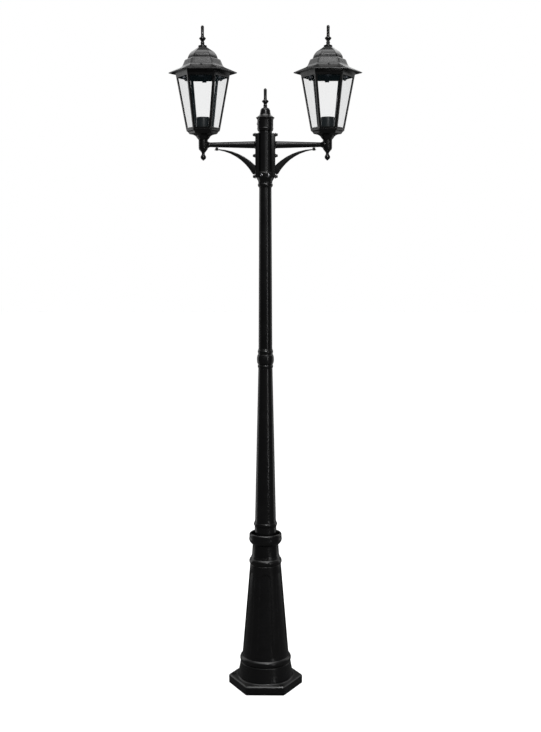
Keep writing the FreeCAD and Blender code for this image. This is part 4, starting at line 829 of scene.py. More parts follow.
def foot_mesh():
    sizes = settings()
    shell = Shell()
    top = COLLAR_TOP
    seat = top - 30
    outline = soften(trace([
        (COLUMN_TOP_RADIUS, COLUMN_TOP), (51, COLUMN_TOP + 1.4), (52.8, COLUMN_TOP + 3),
        ("arc", (55.2, top - 96.5), (50.9, top - 87)),
        (49.4, top - 85.6), (48.4, top - 81),
        ("arc", (46.9, top - 77.5), (46, top - 73)), (43.6, top - 38.5),
        ("arc", (52.6, top - 30.5), (55.2, top - 17)),
        (54.5, top - 8),
        ("arc", (53.6, top - 2.5), (51, top)),
        ("arc", (48.7, top - 0.9), (48, top - 3)),
        (48, seat + 8),
        ("arc", (45.6, seat + 2.4), (40, seat)),
        (30.15, seat), (30.15, seat - 26), (38.9, seat - 26), (38.9, seat - 47),
        (45.5, 416), (69.4, 113), (77.7, 81), (85.9, 34), (85.9, 26), (98.6, 26), (98.6, 30),
        ("arc", (95.9, 31.6), (94.8, 36)),
        ("arc", (90.4, 54), (86.2, 78)),
        (85.6, 80.4), (83.6, 81.4), (83.6, 83.2), (84.8, 84.4),
        ("arc", (87.3, 94), (82.2, 103)),
        (80.7, 104), (80.4, 106.6),
        ("arc", (79.5, 110), (COLUMN_FOOT_RADIUS, COLUMN_FOOT)),
    ]), sizes.edge_round / MM, False)
    angles = [math.radians(a) for a in FINE_STEPS]
    shell.strip([[(x, y, z) for x, y in circle_ring(r, angles)] for r, z in outline])
    for sector in range(6):
        column_sector(shell, math.radians(60 * sector), sizes.panel_depth / MM)
    plate = Shell()
    rows = hex_rows([(126.8, 0), (126.8, 26), (122.8, 30)], 2.0, corner=3.4)
    rows = [(126.2, 0, "hex", 3.4)] + rows[1:]
    rows += [(90, 30, "round", 0), (86, 29.5, "round", 0), (86, 0, "round", 0)]
    plate.rows(rows)
    return shell, plate


def anchor_drill():
    drill = Shell()
    for bearing in (60, 180, 300):
        a = math.radians(bearing)
        place = Matrix.Translation((108 * math.cos(a), 108 * math.sin(a), 0))
        drill.turned([(0, -5), (5.5, -5), (5.5, 26.5), (7.5, 30.4), (7.5, 40), (0, 40)], 32, 0,
                     False, place)
    return drill


def joined(name, shells, sharp=32):
    """Several closed shells in one mesh."""
    whole = bmesh.new()
    for shell in shells:
        mesh = shell.to_mesh(name + "_part", sharp) if isinstance(shell, Shell) else shell
        whole.from_mesh(mesh)
    crisp(whole, sharp)
    mesh = bpy.data.meshes.new(name)
    whole.to_mesh(mesh)
    whole.free()
    return mesh


# ------------------------------------------------------------------ turned outlines

def shaft_outline():
    foot = SHAFT_FOOT
    seat = foot + 42
    bead = seat + 61
    return [(30, foot), (30, seat), (37, seat), (36.8, bead - 11),
            ("arc", (36.9, bead - 8), (37.6, bead - 6)),
            ("arc", (39.5, bead), (37.3, bead + 6)),
            ("arc", (35.9, bead + 12), (35.3, bead + 24)),
            (23.6, SHAFT_TOP), (19, SHAFT_TOP), (19, SHAFT_TOP - 46), (25, bead + 20), (25, foot)]


def coupling_outline():
    foot, top = SHAFT_TOP, TUBE_FOOT
    return [(13.25, foot - 42), (18.85, foot - 42), (18.85, foot), (23.6, foot), (24.1, foot + 2),
            ("arc", (25.7, foot + 6), (24.3, foot + 11)),
            (24.3, foot + 14), (26.1, foot + 15),
            ("arc", (28.3, foot + 31), (26.1, foot + 45)),
            (24.3, foot + 46), (24.3, top - 15),
            ("arc", (25.7, top - 10), (24, top - 5)),
            (22.8, top), (16.85, top), (16.85, top + 42), (13.25, top + 42)]


def tube_outline():
    top = HUB_FOOT
    return [(17, TUBE_FOOT), (22.8, TUBE_FOOT), (20.1, top), (15, top), (15, top + 52),
            (11.5, top + 52), (11.5, top - 6), (17, top - 12)]


def cap_outline():
    foot, skirt, top = HUB_TOP, HUB_TOP + 36, CAP_TOP
    return [(17.65, foot), (24.6, foot), (25.2, foot + 4),
            ("arc", (26.4, foot + 7), (25.6, foot + 10)),
            (25.8, skirt - 1),
            ("arc", (27.4, skirt + 2.5), (29.8, skirt + 5)),
            (29.8, skirt + 7),
            ("arc", (22.4, skirt + 11.6), (18.5, skirt + 16)),
            (17.8, skirt + 18), (16, skirt + 26),
            ("arc", (15, skirt + 31.5), (12.6, top - 1)),
            (12.6, top), (3.1, top), (3.1, top - 6.5), (9.1, top - 6.5), (11.5, skirt + 22),
            (14.5, skirt + 12), (17.65, skirt + 4)]


def finial_outline(foot):
    return [(0, foot - 15), (3, foot - 15), (3, foot), (8.8, foot), (8.8, foot + 1.5),
            ("arc", (6.3, foot + 3.2), (5.8, foot + 5.5)),
            ("arc", (6.5, foot + 8), (5.8, foot + 10.5)),
            ("arc", (5.2, foot + 12.6), (5.8, foot + 15)),
            (10.3, foot + 21),
            ("arc", (10.8, foot + 22.5), (10.3, foot + 24)),
            (5.7, foot + 27.5), (5.1, foot + 30), (4.9, foot + 44), (5.2, foot + 57.5),
            ("arc", (4, foot + 61.4), (1, foot + 63.5)),
            (0, foot + 63.5)]


def knob_outline(top):
    return [(0, top + 6), (3, top + 6), (3, top), (9.6, top), (9, top - 1.5), (6.4, top - 4.5),
            ("arc", (5, top - 8.5), (5.9, top - 12.5)),
            ("arc", (8.3, top - 16.5), (9.1, top - 20.5)),
            ("arc", (7.9, top - 24.5), (3.4, top - 28.4)),
            ("arc", (2.6, top - 30), (0.8, top - 31)),
            (0, top - 31)]


def turned_piece(name, outline, body, slot, node, closed=True, x=0.0, rounding=None, around=None):
    shell = Shell()
    sizes = settings()
    shell.turned(outline, around or sizes.around,
                 sizes.edge_round / MM if rounding is None else rounding,
                 closed, Matrix.Translation((x, 0, 0)))
    return piece(name, shell.to_mesh(name), body, slot, node)


# ------------------------------------------------------------------ hub

def hub_mesh():
    """Ringed neck, drum and column, cut flat on both sides where the arms' plates lie."""
    foot, drum, top = HUB_FOOT, DRUM_FOOT, HUB_TOP
    flat, flat_top = 20.5, drum + 142
    outline = soften(trace([
        (15.15, foot), (20.7, foot),
        ("arc", (24.4, foot + 6.5), (22.8, foot + 13)),
        (22.8, foot + 18),
        ("arc", (25.8, foot + 25), (30, drum)),
        (30, drum + 13),
        ("arc", (28.8, drum + 16.8), (25, drum + 18)),
        (22, drum + 19), (22, flat_top), (22, top), (17.5, top), (17.5, top + 30), (13.5, top + 30),
        (13.5, top - 4), (15.15, top - 8)]), 0.6, True)
    steps = FINE_STEPS + [s * a + b for b in (0, 180) for s in (-1, 1) for a in (21.3, 46.9)]
    angles = [math.radians(a) for a in sorted(a % 360 for a in steps)]

    def ring(radius, z, cut):
        points = []
        for a in angles:
            across = abs(math.cos(a))
            r = min(radius, flat / across) if cut and across * radius > flat else radius
            points.append((r * math.cos(a), r * math.sin(a), z))
        return points

    rings = []
    was_cut = False
    for radius, z in outline:
        cut = radius > flat and drum - 0.01 <= z <= flat_top + 0.01
        if cut and not was_cut:
            rings.append(ring(radius, z, False))
        rings.append(ring(radius, z, cut))
        if cut and abs(z - flat_top) < 0.01:
            rings.append(ring(radius, z, False))
        was_cut = cut
    shell = Shell()
    shell.strip(rings, closed_way=True)
    return shell.to_mesh("hub_casting")


# ------------------------------------------------------------------ arms and braces

def rounded_box(half_wide, half_tall, radius):
    """Rectangle with rounded corners round its own middle, as (across, up)."""
    points = []
    for sx, sy, start in ((1, 1, 0), (-1, 1, 90), (-1, -1, 180), (1, -1, 270)):
        for i in range(6):
            a = math.radians(start + 18 * i)
            points.append((sx * (half_wide - radius) + radius * math.cos(a),
                           sy * (half_tall - radius) + radius * math.sin(a)))
    return points


def rounded_slab(shell, x0, x1, half_y, z0, z1, radius):
    """Upright plate whose outer face, at x1, has rounded edges."""
    middle, half_z = (z0 + z1) / 2, (z1 - z0) / 2

    def loop(x, inset, corner):
        return [(x, y, middle + z) for y, z in rounded_box(half_y - inset, half_z - inset, corner)]

    rings = [loop(x0, 0, 0.8)]
    for i in range(7):
        a = math.radians(15 * i)
        inset = radius * (1 - math.cos(a))
        rings.append(loop(x1 - radius + radius * math.sin(a), inset, 0.8 + (radius - inset) * 0.5))
    shell.bar(rings)


def arm_mesh(side):
    """Saddle plate, tapered arm and stem, drawn from the stem's axis at the arm's height."""
    sizes = settings()
    root = PLATE_FACE - REACH
    low, high = DRUM_FOOT - ARM_HEIGHT, DRUM_FOOT - ARM_HEIGHT + 142
    slab = Shell()
    rounded_slab(slab, root - 12, root, 17, low, high, 5)
    across = Matrix(((0, 0, 1, 0), (0, 1, 0, 0), (-1, 0, 0, 0), (0, 0, 0, 1)))
    bar = Shell()
    bar.turned([(0, root - 1), (14.4, root - 1), (14.4, root),
                ("arc", (12.4, root + 1.6), (11.4, root + 5)),
                (7.6, -23),
                ("arc", (9.2, -18), (13.3, -12.8)),
                (13.3, 0), (0, 0)], 64, 0.6, False, across)
    stem = Shell()
    stem.turned([(0, -STEM_FOOT), (10, -STEM_FOOT), (13.2, -16), ("arc", (14.5, -12.5), (15, -8.5)),
                 (15, 14.5), (14, 15.5), (0, 15.5)], sizes.around, 0.6, False)
    pads = []
    for z in PLATE_SCREW_LEVELS:
        pad = Shell()
        pad.turned([(0, root - 1), (6.6, root - 1), (6.2, root + 0.4), (6, root + 3),
                    (0, root + 3)], 40, 0.6,
                   False, Matrix.Translation((0, 0, z)) @ across)
        pads.append(pad)
    parts = [slab, bar, stem, *pads]
    for part in parts:
        part.moved(at_lantern(side, ARM_HEIGHT) @ half_turn(side))
    return joined("arm_casting", parts)


def brace_mesh(side):
    """Scroll brace swept from its foot on the plate to the pad under the arm."""
    level = ARM_HEIGHT
    low = level - PAD_DROP
    pad_at, tip = REACH - PAD_INSET, REACH - 50
    root = (PLATE_FACE, level - 66)
    over = [root] + through(root, (pad_at / 2, level - 33), (tip, low + 3.4))
    heel = (PLATE_FACE + 9, level - 94)
    under = [heel] + through(heel, (pad_at * 0.52, level - 47), (tip, low + 0.6))
    count = 40

    def along(points, share):
        at = share * (len(points) - 1)
        i = min(int(at), len(points) - 2)
        return Vector(points[i]).lerp(Vector(points[i + 1]), at - i)

    pairs = [(Vector(root), Vector((PLATE_FACE, level - 93))),
             (along(over, 0.012), Vector((PLATE_FACE + 3.6, level - 95.8)))]
    pairs += [(along(over, 0.03 + 0.97 * i / count), along(under, i / count))
              for i in range(count + 1)]
    rings = []
    for high, bottom in pairs:
        up = (high - bottom).normalized()
        tall = (high - bottom).length / 2
        middle = (high + bottom) / 2
        ring = []
        for y, rise in rounded_box(6, tall, min(2.4, tall * 0.8)):
            point = middle + up * rise
            ring.append((point.x, y, point.y))
        rings.append(ring)
    bar = Shell()
    bar.bar(rings)
    pad = Shell()
    pad.turned([(0, low), (7.6, low), (7.6, low + 1.8), (5.4, low + 2.8), (4.8, low + 3.4),
                (4.8, level - 9.2), (0, level - 9.2)], 48, 0.6, False,
               Matrix.Translation((pad_at, 0, 0)))
    for part in (bar, pad):
        part.moved(half_turn(side))
    return joined("brace_casting", [bar, pad])


# ------------------------------------------------------------------ lanterns

def cage_radius(z):
    """Corner radius of the cage's outside at a height above the lantern's foot."""
    return 55.2 + 34.2 * (z - CAGE_BOTTOM) / (CAGE_TOP - CAGE_BOTTOM)


def tray_mesh(side):
    hip = settings().hip_round / MM
    rows = hex_rows([(6.1, 0), (15.5, 0), (15.5, 1), ("arc", (20, 6), (22.5, 10)),
                     ("arc", (26.2, 13.4), (32, 16.5)), (36, 18.4)], 0.5, "round")
    rows += hex_rows([(44.4, 18.5), (45.4, 19.3), (50, 25.5), (cage_radius(28.5), 28.5),
                      (55.2, 32.6),
                      (54.4, 33), (50.4, 33), (50.4, 28.5), (46, 25.5), (42.4, 22.5)], 0.5, "hex",
                      hip)
    rows += [(6.1, 22.5, "round", 0)]
    shell = Shell()
    shell.rows(rows)
    return shell.moved(at_lantern(side)).to_mesh("tray_casting")


def cage_mesh(side, name):
    """Six tapered posts between sill and header, in one casting with the ring under the roof."""
    post, sill, header = 6.5, 38, 197
    wall, top, lid = CAGE_WALL, CAGE_TOP, CAGE_LID
    shell = Shell()

    def corner(index, radius, z):
        a = math.radians(60 * index)
        return Vector((radius * math.cos(a), radius * math.sin(a), z))

    def side_point(index, radius, z, inset):
        a, b = corner(index, radius, z), corner(index + 1, radius, z)
        run = (b - a).normalized()
        return (a + run * inset, b - run * inset)

    for index in range(6):
        def panel(shrink):
            """The four corners of one side and of its window, on the outer or inner face."""
            edge, window = [], []
            for z, hole in ((CAGE_BOTTOM, sill), (top if shrink == 0 else lid, header)):
                a, b = side_point(index, cage_radius(z) - shrink, z, 0)
                edge.append((a, b))
                half = cage_radius(hole) / 2 - post
                full = (cage_radius(hole) - shrink) / 2
                window.append(side_point(index, cage_radius(hole) - shrink, hole, full - half))
            (a, b), (d, c) = edge
            (e, f), (h, g) = window
            return [shell.point(*p) for p in (a, b, c, d)], [shell.point(*p) for p in (e, f, g, h)]
        outer, hole_out = panel(0)
        inner, hole_in = panel(wall)
        for i in range(4):
            j = (i + 1) % 4
            shell.face([outer[i], outer[j], hole_out[j], hole_out[i]])
            shell.face([hole_out[i], hole_out[j], hole_in[j], hole_in[i]])
            shell.face([hole_in[i], hole_in[j], inner[j], inner[i]])
        shell.face([outer[0], inner[0], inner[1], outer[1]])
        levels = [(cage_radius(top), top), (57.5, top), (57.5, top + 20), (54.5, top + 20),
                  (54.5, lid),
                  (cage_radius(lid) - wall, lid)]
        line = [[shell.point(*corner(index + k, r, z)) for k in (0, 1)] for r, z in levels]
        for one, two in zip(line, line[1:]):
            shell.face([one[0], one[1], two[1], two[0]])
    obj = new_object(name, shell.moved(at_lantern(side)).to_mesh(name, 20))
    bevel = obj.modifiers.new("edges", "BEVEL")
    bevel.width = settings().edge_round
    bevel.segments = 3
    bevel.limit_method = "ANGLE"
    bevel.angle_limit = math.radians(28)
    return flattened(obj, 40)


def pane_face(z):
    """Distance of the glass's outer face from the lantern's axis."""
    return (cage_radius(z) - CAGE_WALL) * APOTHEM - 0.1


def pane_mesh(side):
    """One pane with ground edges, in front of the lantern's axis."""
    low, high, thick, ground = 34.5, 200.5, PANE_THICKNESS, 0.35
    shell = Shell()
    rings = []
    for inset, depth in ((ground, 0.0), (0.0, ground), (0.0, thick - ground), (ground, thick)):
        ring = []
        for z, sign in ((low, 1), (low, -1), (high, -1), (high, 1)):
            height = z + (inset if z == low else -inset)
            half = cage_radius(z) / 2 - 5.3 - inset
            ring.append((-sign * half, depth - pane_face(height), height))
        rings.append(ring)
    shell.bar(rings)
    return shell.moved(at_lantern(side)).to_mesh("pane", 20)


def clip_mesh(side):
    """One sprung strip, bent at the top to lie under the cage's lid and flared at its foot."""
    lid, low, half = CAGE_LID, 192, 7
    top_face, low_face = pane_face(lid) - PANE_THICKNESS, pane_face(low) - 2.6
    line = [(-low_face + 1.6, low), (-low_face + 0.1, low + 2), (-top_face + 0.2, lid - 2.6),
            ("arc", (-top_face + 1, lid - 1), (-top_face + 2.6, lid - 0.5)),
            (8.8 - top_face, lid - 0.5)]
    points = soften(trace(line), 1.2, False)
    rings = []
    for i, here in enumerate(points):
        ahead = Vector(points[min(i + 1, len(points) - 1)]) - Vector(points[max(i - 1, 0)])
        normal = Vector((-ahead.y, ahead.x)).normalized() * 0.4
        ring = []
        for x in (-half, half):
            for sign in ((-1, 1) if x < 0 else (1, -1)):
                ring.append((x, here[0] + sign * normal.x, here[1] + sign * normal.y))
        rings.append(ring)
    shell = Shell()
    shell.bar(rings)
    return shell.moved(at_lantern(side)).to_mesh("clip")


def roof_mesh(side, name):
    """Bell roof of six bowed faces with a turned disc on top, hollow underneath."""
    hip = settings().hip_round / MM
    outer = [(111, -5.5), (111, -3), (74, 12), ("arc", (67.6, 16.2), (64.5, 21)), (58.3, 35.5),
             (56.7, 37.5), (49, 40.5), ("arc", (43.3, 54.95), (29, 67)), (14.6, 76.5)]
    inner = [(13, 71.5), (28, 63), ("arc", (40.5, 52.85), (45.6, 39.5)), (54.3, 32.5), (60.9, 20),
             ("arc", (64.1, 13.4), (72, 8)), (78, 0), (92, 0), (107, -5.5), (111, -5.5)]
    rows = hex_rows(outer, 0.8, "hex", hip)
    rows += [(14, 76.7, "round", 0), (14, 80.8, "round", 0), (13.3, ROOF_CROWN, "round", 0),
             (0, ROOF_CROWN, "round", 0)]
    shell = Shell()
    shell.rows(rows + [(0, 71.5, "round", 0)] + hex_rows(inner, 0.5, "hex", hip), closed=False)
    return new_object(name, shell.moved(at_lantern(side, ROOF_SEAT)).to_mesh(name, 26))


ROOF_SCREW_BEARINGS = (-90, 30, 150)
ROOF_SCREW_SEAT = 66.5 * APOTHEM
ROOF_SCREW_LEVEL = ROOF_SEAT + 14


def roof_drill(side):
    drill = Shell()
    for bearing in ROOF_SCREW_BEARINGS:
        place = (at_lantern(side, ROOF_SCREW_LEVEL) @ Matrix.Rotation(math.radians(bearing), 4, "Z")
                 @ Matrix.Rotation(math.pi / 2, 4, "Y"))
        drill.turned([(0, ROOF_SCREW_SEAT), (3.3, ROOF_SCREW_SEAT), (3.3, ROOF_SCREW_SEAT + 30),
                      (0, ROOF_SCREW_SEAT + 30)], 28, 0, False, place)
    return drill


def shell_thread_mesh(side):
    """Rolled screw shell of a lampholder: a thin tube whose wall follows the thread."""
    foot = LANTERN_FOOT + 46.5
    pitch = settings().thread_pitch / MM
    rows, around = 60, 72
    rings = []
    for wall, order in ((0, range(rows + 1)), (0.2, range(rows, -1, -1))):
        for row in order:
            z = 24 * row / rows
            fade = min(1.0, z / 1.5, (24 - z) / 1.5)
            ring = []
            for a in even_angles(around):
                r = 13.45 + wall + 0.15 * fade * math.sin(2 * math.pi * z / pitch - a)
                ring.append((side * REACH + r * math.cos(a), r * math.sin(a), foot + z))
            rings.append(ring)
    shell = Shell()
    shell.strip(rings, closed_way=True)
    return shell.to_mesh("screw_shell")


def holder_outline():
    foot = LANTERN_FOOT + 26.5
    shell_foot = foot + 20
    return [(6.1, foot), (15, foot), (17, foot + 14), (19, foot + 14), (19, foot + 42),
            ("arc", (18.4, foot + 43.4), (17, foot + 44)),
            (13.9, foot + 44), (13.9, shell_foot), (3.3, shell_foot), (3.3, shell_foot - 4),
            (6.1, shell_foot - 4)]


def cover_outline():
    foot = LANTERN_FOOT + 22.5
    top = foot + 49.5
    return [(21, foot), (23, foot), (23, foot + 6), (22.6, foot + 6.8), (22.9, foot + 7.6),
            (22.7, top - 1.5), ("arc", (22.2, top - 0.4), (21.2, top)),
            (16.5, top), (16.5, top - 1.2), (21, top - 1.4)]


# ------------------------------------------------------------------ operators

class LAMPPOST_OT_foot(bpy.types.Operator):
    """Make the foot casting: hexagonal plate, bell, panelled column and collar"""

    bl_idname = "lamp_post.foot"
    bl_label = "Foot casting"
    bl_options = {"REGISTER", "UNDO"}

    def execute(self, context):
        shell, plate = foot_mesh()
        bored = drilled(new_object("foot_plate", plate.to_mesh("foot_plate")), anchor_drill())
        mesh = joined("foot_casting", [shell, bored.data])
        bpy.data.objects.remove(bored)
        piece("foot_casting", mesh, "post", "black_coating", "base_casting")
        return {"FINISHED"}


class LAMPPOST_OT_shafts(bpy.types.Operator):
    """Make the lower shaft, the coupling and the upper tube"""

    bl_idname = "lamp_post.shafts"
    bl_label = "Shafts and coupling"
    bl_options = {"REGISTER", "UNDO"}

    def execute(self, context):
        turned_piece("tapered_shaft", shaft_outline(), "post", "black_coating", "lower_shaft")
        turned_piece("beaded_coupling", coupling_outline(), "post", "black_coating", "mid_coupling")
        turned_piece("tapered_tube", tube_outline(), "post", "black_coating", "upper_tube")
        return {"FINISHED"}


class LAMPPOST_OT_hub(bpy.types.Operator):
    """Make the hub, its cap and the cap's finial"""

    bl_idname = "lamp_post.hub"
    bl_label = "Hub and cap"
    bl_options = {"REGISTER", "UNDO"}

    def execute(self, context):
        piece("hub_casting", hub_mesh(), "post", "black_coating", "hub")
        turned_piece("cap_casting", cap_outline(), "post", "black_coating", "hub_cap", rounding=0.5)
        turned_piece("cap_spike", finial_outline(CAP_TOP), "post", "black_coating", "cap_finial",
                     closed=False, rounding=0.4, around=48)
        return {"FINISHED"}


class LAMPPOST_OT_arms(bpy.types.Operator):
    """Make the arms, their scroll braces and the knobs under the stems"""

    bl_idname = "lamp_post.arms"
    bl_label = "Arms and braces"
    bl_options = {"REGISTER", "UNDO"}

    def execute(self, context):
        for name, side in SIDES.items():
            piece("arm_casting_" + name, arm_mesh(side), "post", "black_coating", "arm_" + name)
            piece("brace_casting_" + name, brace_mesh(side), "post", "black_coating",
                  "brace_" + name)
            turned_piece("hanging_knob_" + name, knob_outline(ARM_HEIGHT - STEM_FOOT), "post",
                         "black_coating", "drop_knob_" + name, closed=False, x=side * REACH,
                         rounding=0.4, around=56)
        return {"FINISHED"}


class LAMPPOST_OT_lanterns(bpy.types.Operator):
    """Make the trays, cages, panes and the clips that hold the panes"""

    bl_idname = "lamp_post.lanterns"
    bl_label = "Lanterns"
    bl_options = {"REGISTER", "UNDO"}

    def execute(self, context):
        for name, side in SIDES.items():
            piece("tray_casting_" + name, tray_mesh(side), "post", "black_coating",
                  "lantern_tray_" + name)
            piece("cage_casting_" + name, cage_mesh(side, "cage_casting_" + name), "post",
                  "black_coating", "lantern_cage_" + name)
            axis = (side * REACH * MM, 0, 0)
            for kind, mesh, slot, node in (("panes", pane_mesh(side), "clear_glass",
                                            "glass_panes_"),
                                           ("clips", clip_mesh(side), "spring_steel",
                                            "pane_clips_")):
                obj = grown(new_object(kind + "_" + name, mesh), ring_group(),
                            {"Count": 6, "Axis": axis, "Material": finishes()[slot]})
                piece(kind + "_" + name, obj, "post", slot, node + name)
        return {"FINISHED"}


class LAMPPOST_OT_roofs(bpy.types.Operator):
    """Make the roofs that lift off and their finials"""

    bl_idname = "lamp_post.roofs"
    bl_label = "Roofs"
    bl_options = {"REGISTER", "UNDO"}

    def execute(self, context):
        for name, side in SIDES.items():
            body = "roof_" + name + "_lid"
            roof = drilled(roof_mesh(side, "roof_casting_" + name), roof_drill(side), 26)
            piece("roof_casting_" + name, roof, body, "black_coating", "roof_" + name)
            turned_piece("roof_spike_" + name, finial_outline(ROOF_SEAT + ROOF_CROWN), body,
                         "black_coating",
                         "roof_finial_" + name, closed=False, x=side * REACH, rounding=0.4,
                         around=48)
        return {"FINISHED"}


class LAMPPOST_OT_lampholders(bpy.types.Operator):
    """Make the lampholders, their covers and threaded shells"""

    bl_idname = "lamp_post.lampholders"
    bl_label = "Lampholders"
    bl_options = {"REGISTER", "UNDO"}

    def execute(self, context):
        for name, side in SIDES.items():
            turned_piece("holder_" + name, holder_outline(), "post", "holder_ceramic",
                         "lampholder_body_" + name, x=side * REACH, rounding=0.4, around=64)
            turned_piece("holder_cover_" + name, cover_outline(), "post", "holder_plastic",
                         "lampholder_cover_" + name, x=side * REACH, rounding=0.3, around=72)
            piece("threaded_shell_" + name, shell_thread_mesh(side), "post", "brass",
                  "screw_shell_" + name)
        return {"FINISHED"}


class LAMPPOST_OT_screws(bpy.types.Operator):
    """Drive the screws of the hub, cap, arms, braces and roofs"""

    bl_idname = "lamp_post.screws"
    bl_label = "Screws"
    bl_options = {"REGISTER", "UNDO"}

    def execute(self, context):
        def spot(bearing, distance, z, x=0.0):
            a = math.radians(bearing)
            way = (math.cos(a), math.sin(a), 0)
            return (x + distance * way[0], distance * way[1], z), way

        screws("drum_screws", [spot(b, 30, DRUM_FOOT + 7) for b in (-67, -113, 67, 113)],
               (4.2, 2.8), (2.4, 14.9), "post", "hub_screws", "steel_fixing")
        screws("cap_side_screw", [spot(180, 25.8, HUB_TOP + 23)], (3.2, 1.68), (2.4, 8.2), "post",
               "cap_screw", "steel_fixing")
        screws("tube_set_screw", [spot(-67, 22.5, TUBE_FOOT + 22)], (2.4, 1.0), (2.2, 5), "post",
               "coupling_screw")
        for name, side in SIDES.items():
            way = 0 if side > 0 else 180
            screws("plate_screws_" + name,
                   [spot(way, PLATE_FACE + 3, ARM_HEIGHT + z) for z in PLATE_SCREW_LEVELS],
                   (4.4, 5.2), (2.4, 19.5), "post", "arm_screws_" + name)
            screws("pad_screw_" + name,
                   [((side * (REACH - PAD_INSET), 0, ARM_HEIGHT - PAD_DROP), (0, 0, -1))],
                   (3.6, 1.4), (1.6, 11.5), "post", "brace_screw_" + name)
            screws("skirt_screws_" + name,
                   [spot(b, ROOF_SCREW_SEAT, ROOF_SCREW_LEVEL, side * REACH)
                    for b in ROOF_SCREW_BEARINGS],
                   (3.0, 2.4), (1.6, 7.4), "roof_" + name + "_lid", "roof_screws_" + name)
        return {"FINISHED"}


class LAMPPOST_OT_kept(bpy.types.Operator):
    """Finish the inner pieces whose CAD shape is already right"""

    bl_idname = "lamp_post.kept"
    bl_label = "Inner pieces"
    bl_options = {"REGISTER", "UNDO"}

    def execute(self, context):
        slots = {part["node"]: part["material_slot"] for part in frame["record"]["subparts"]}
        for node, obj in frame["nodes"].items():
            for holder in obj.material_slots:
                holder.material = finishes()[slots[node]]
        return {"FINISHED"}


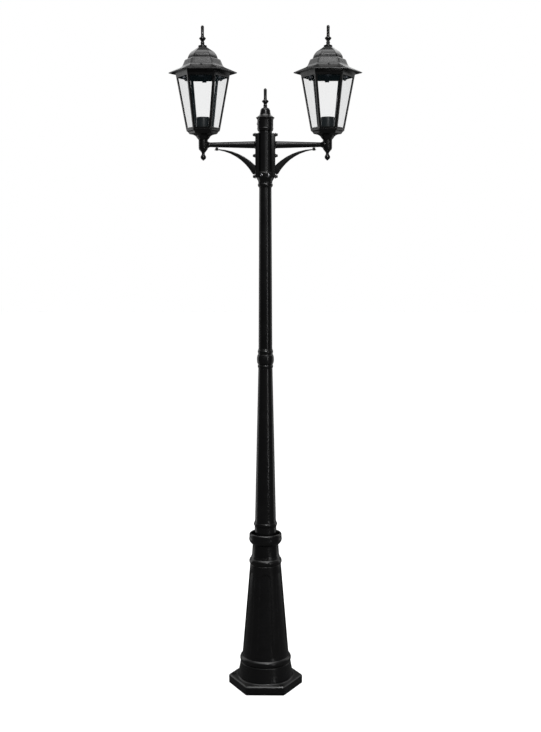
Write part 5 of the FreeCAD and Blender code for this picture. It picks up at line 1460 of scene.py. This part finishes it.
class LAMPPOST_OT_stage(bpy.types.Operator):
    """Lay the floor, set the lights and aim the camera"""

    bl_idname = "lamp_post.stage"
    bl_label = "Studio"
    bl_options = {"REGISTER", "UNDO"}

    def execute(self, context):
        studio = bpy.context.scene.lamp_post_studio
        shell = Shell()
        half = FLOOR_HALF
        corners = [shell.point(x, y, 0) for x,
                   y in ((-half, -half), (half, -half), (half, half), (-half, half))]
        shell.face(corners)
        floor = new_object("floor", shell.to_mesh("floor"))
        floor.data.materials.append(floor_paper("floor_paper"))
        for light in (
                ("left_window", (-1.6, 1.0, 1.2), (0, 0, 1.1), (0.9, 2.6), 7),
                ("right_window", (1.6, 1.0, 1.2), (0, 0, 1.1), (0.9, 2.6), 5),
                ("back_left", (-1.3, 2.3, 3.3), (0, 0, 2.0), (1.6, 1.6), 12),
                ("back_right", (1.3, 2.3, 3.3), (0, 0, 2.0), (1.6, 1.6), 16),
                ("overhead", (0, -0.1, 4.2), (0, 0, 2.0), (1.6, 0.9), 9),
                ("front_high", (0.1, -1.9, 4.2), (0, 0, 0.2), (1.2, 0.3), 12),
                ("front_box", (0.62, -2.5, 3.0), (0, 0, 1.0), (0.2, 0.2), 24),
                ("front_strip", (1.7, -2.3, 1.3), (0, 0, 1.2), (0.14, 2.2), 6)):
            self.light(*light)
        sun = bpy.data.lights.new("sky", "SUN")
        sun.energy = 1.5
        sun.angle = math.radians(60)
        holder = bpy.data.objects.new("sky", sun)
        holder.rotation_euler = (math.radians(12), 0, 0)
        bpy.context.scene.collection.objects.link(holder)
        bpy.context.scene.view_settings.view_transform = "Standard"
        self.world(studio)
        self.camera(studio)
        return {"FINISHED"}

    def light(self, name, place, target, size, power):
        lamp = bpy.data.lights.new(name, "AREA")
        lamp.shape = "RECTANGLE"
        lamp.size, lamp.size_y = size
        lamp.energy = power
        holder = bpy.data.objects.new(name, lamp)
        holder.location = place
        holder.visible_camera = False
        holder.rotation_euler = (Vector(target) - Vector(place)).to_track_quat("-Z", "Y").to_euler()
        bpy.context.scene.collection.objects.link(holder)

    def world(self, studio):
        world = bpy.data.worlds.new("studio")
        world.use_nodes = True
        world.node_tree.nodes.clear()
        net = Net(world.node_tree)
        sees = net.add("ShaderNodeLightPath", out=0)
        room = net.add("ShaderNodeBackground", {}, {"Color": (1, 1, 1, 1), "Strength": studio.room})
        paper = net.add("ShaderNodeBackground", {},
                        {"Color": (1, 1, 1, 1), "Strength": studio.paper})
        mixed = net.add("ShaderNodeMixShader", {}, {0: sees, 1: room, 2: paper})
        end = world.node_tree.nodes.new("ShaderNodeOutputWorld")
        net.feed(end.inputs["Surface"], mixed)
        bpy.context.scene.world = world

    def camera(self, studio):
        lens = bpy.data.cameras.new("camera")
        lens.lens = studio.lens
        lens.clip_end = 100
        holder = bpy.data.objects.new("camera", lens)
        turn = Matrix.Rotation(studio.bearing, 4, "Z")
        eye = turn @ Vector((studio.aside, -studio.distance, studio.height))
        aim = turn @ Matrix.Rotation(math.pi / 2 - studio.tilt, 4,
                                     "X") @ Matrix.Rotation(studio.roll, 4, "Z")
        holder.matrix_world = Matrix.Translation(eye) @ aim
        bpy.context.scene.collection.objects.link(holder)
        bpy.context.scene.camera = holder


class LAMPPOST_PT_panel(bpy.types.Panel):
    """Sizes, finishes and builders of the lamp post"""

    bl_idname = "LAMPPOST_PT_panel"
    bl_label = "Lamp post"
    bl_space_type = "VIEW_3D"
    bl_region_type = "UI"
    bl_category = "Lamp post"

    def draw(self, context):
        layout = self.layout
        scene = context.scene
        for group in (scene.lamp_post_sizes, scene.lamp_post_finish, scene.lamp_post_studio):
            box = layout.box()
            for name in group.__annotations__:
                box.prop(group, name)
        for builder in BUILDERS:
            layout.operator(builder.bl_idname)


BUILDERS = (LAMPPOST_OT_stage, LAMPPOST_OT_kept, LAMPPOST_OT_foot, LAMPPOST_OT_shafts,
            LAMPPOST_OT_hub,
            LAMPPOST_OT_arms, LAMPPOST_OT_lanterns, LAMPPOST_OT_lampholders, LAMPPOST_OT_roofs,
            LAMPPOST_OT_screws)
GROUPS = {"lamp_post_sizes": LampPostSizes, "lamp_post_finish": LampPostFinish,
          "lamp_post_studio": LampPostStudio}


def register():
    for group in GROUPS.values():
        bpy.utils.register_class(group)
    for name, group in GROUPS.items():
        setattr(bpy.types.Scene, name, bpy.props.PointerProperty(type=group))
    for item in (*BUILDERS, LAMPPOST_PT_panel):
        bpy.utils.register_class(item)


def unregister():
    for item in (LAMPPOST_PT_panel, *reversed(BUILDERS)):
        bpy.utils.unregister_class(item)
    for name in GROUPS:
        delattr(bpy.types.Scene, name)
    for group in reversed(list(GROUPS.values())):
        bpy.utils.unregister_class(group)


def main():
    register()
    for builder in BUILDERS:
        area, name = builder.bl_idname.split(".")
        getattr(getattr(bpy.ops, area), name)()


if __name__ == "__main__":
    main()
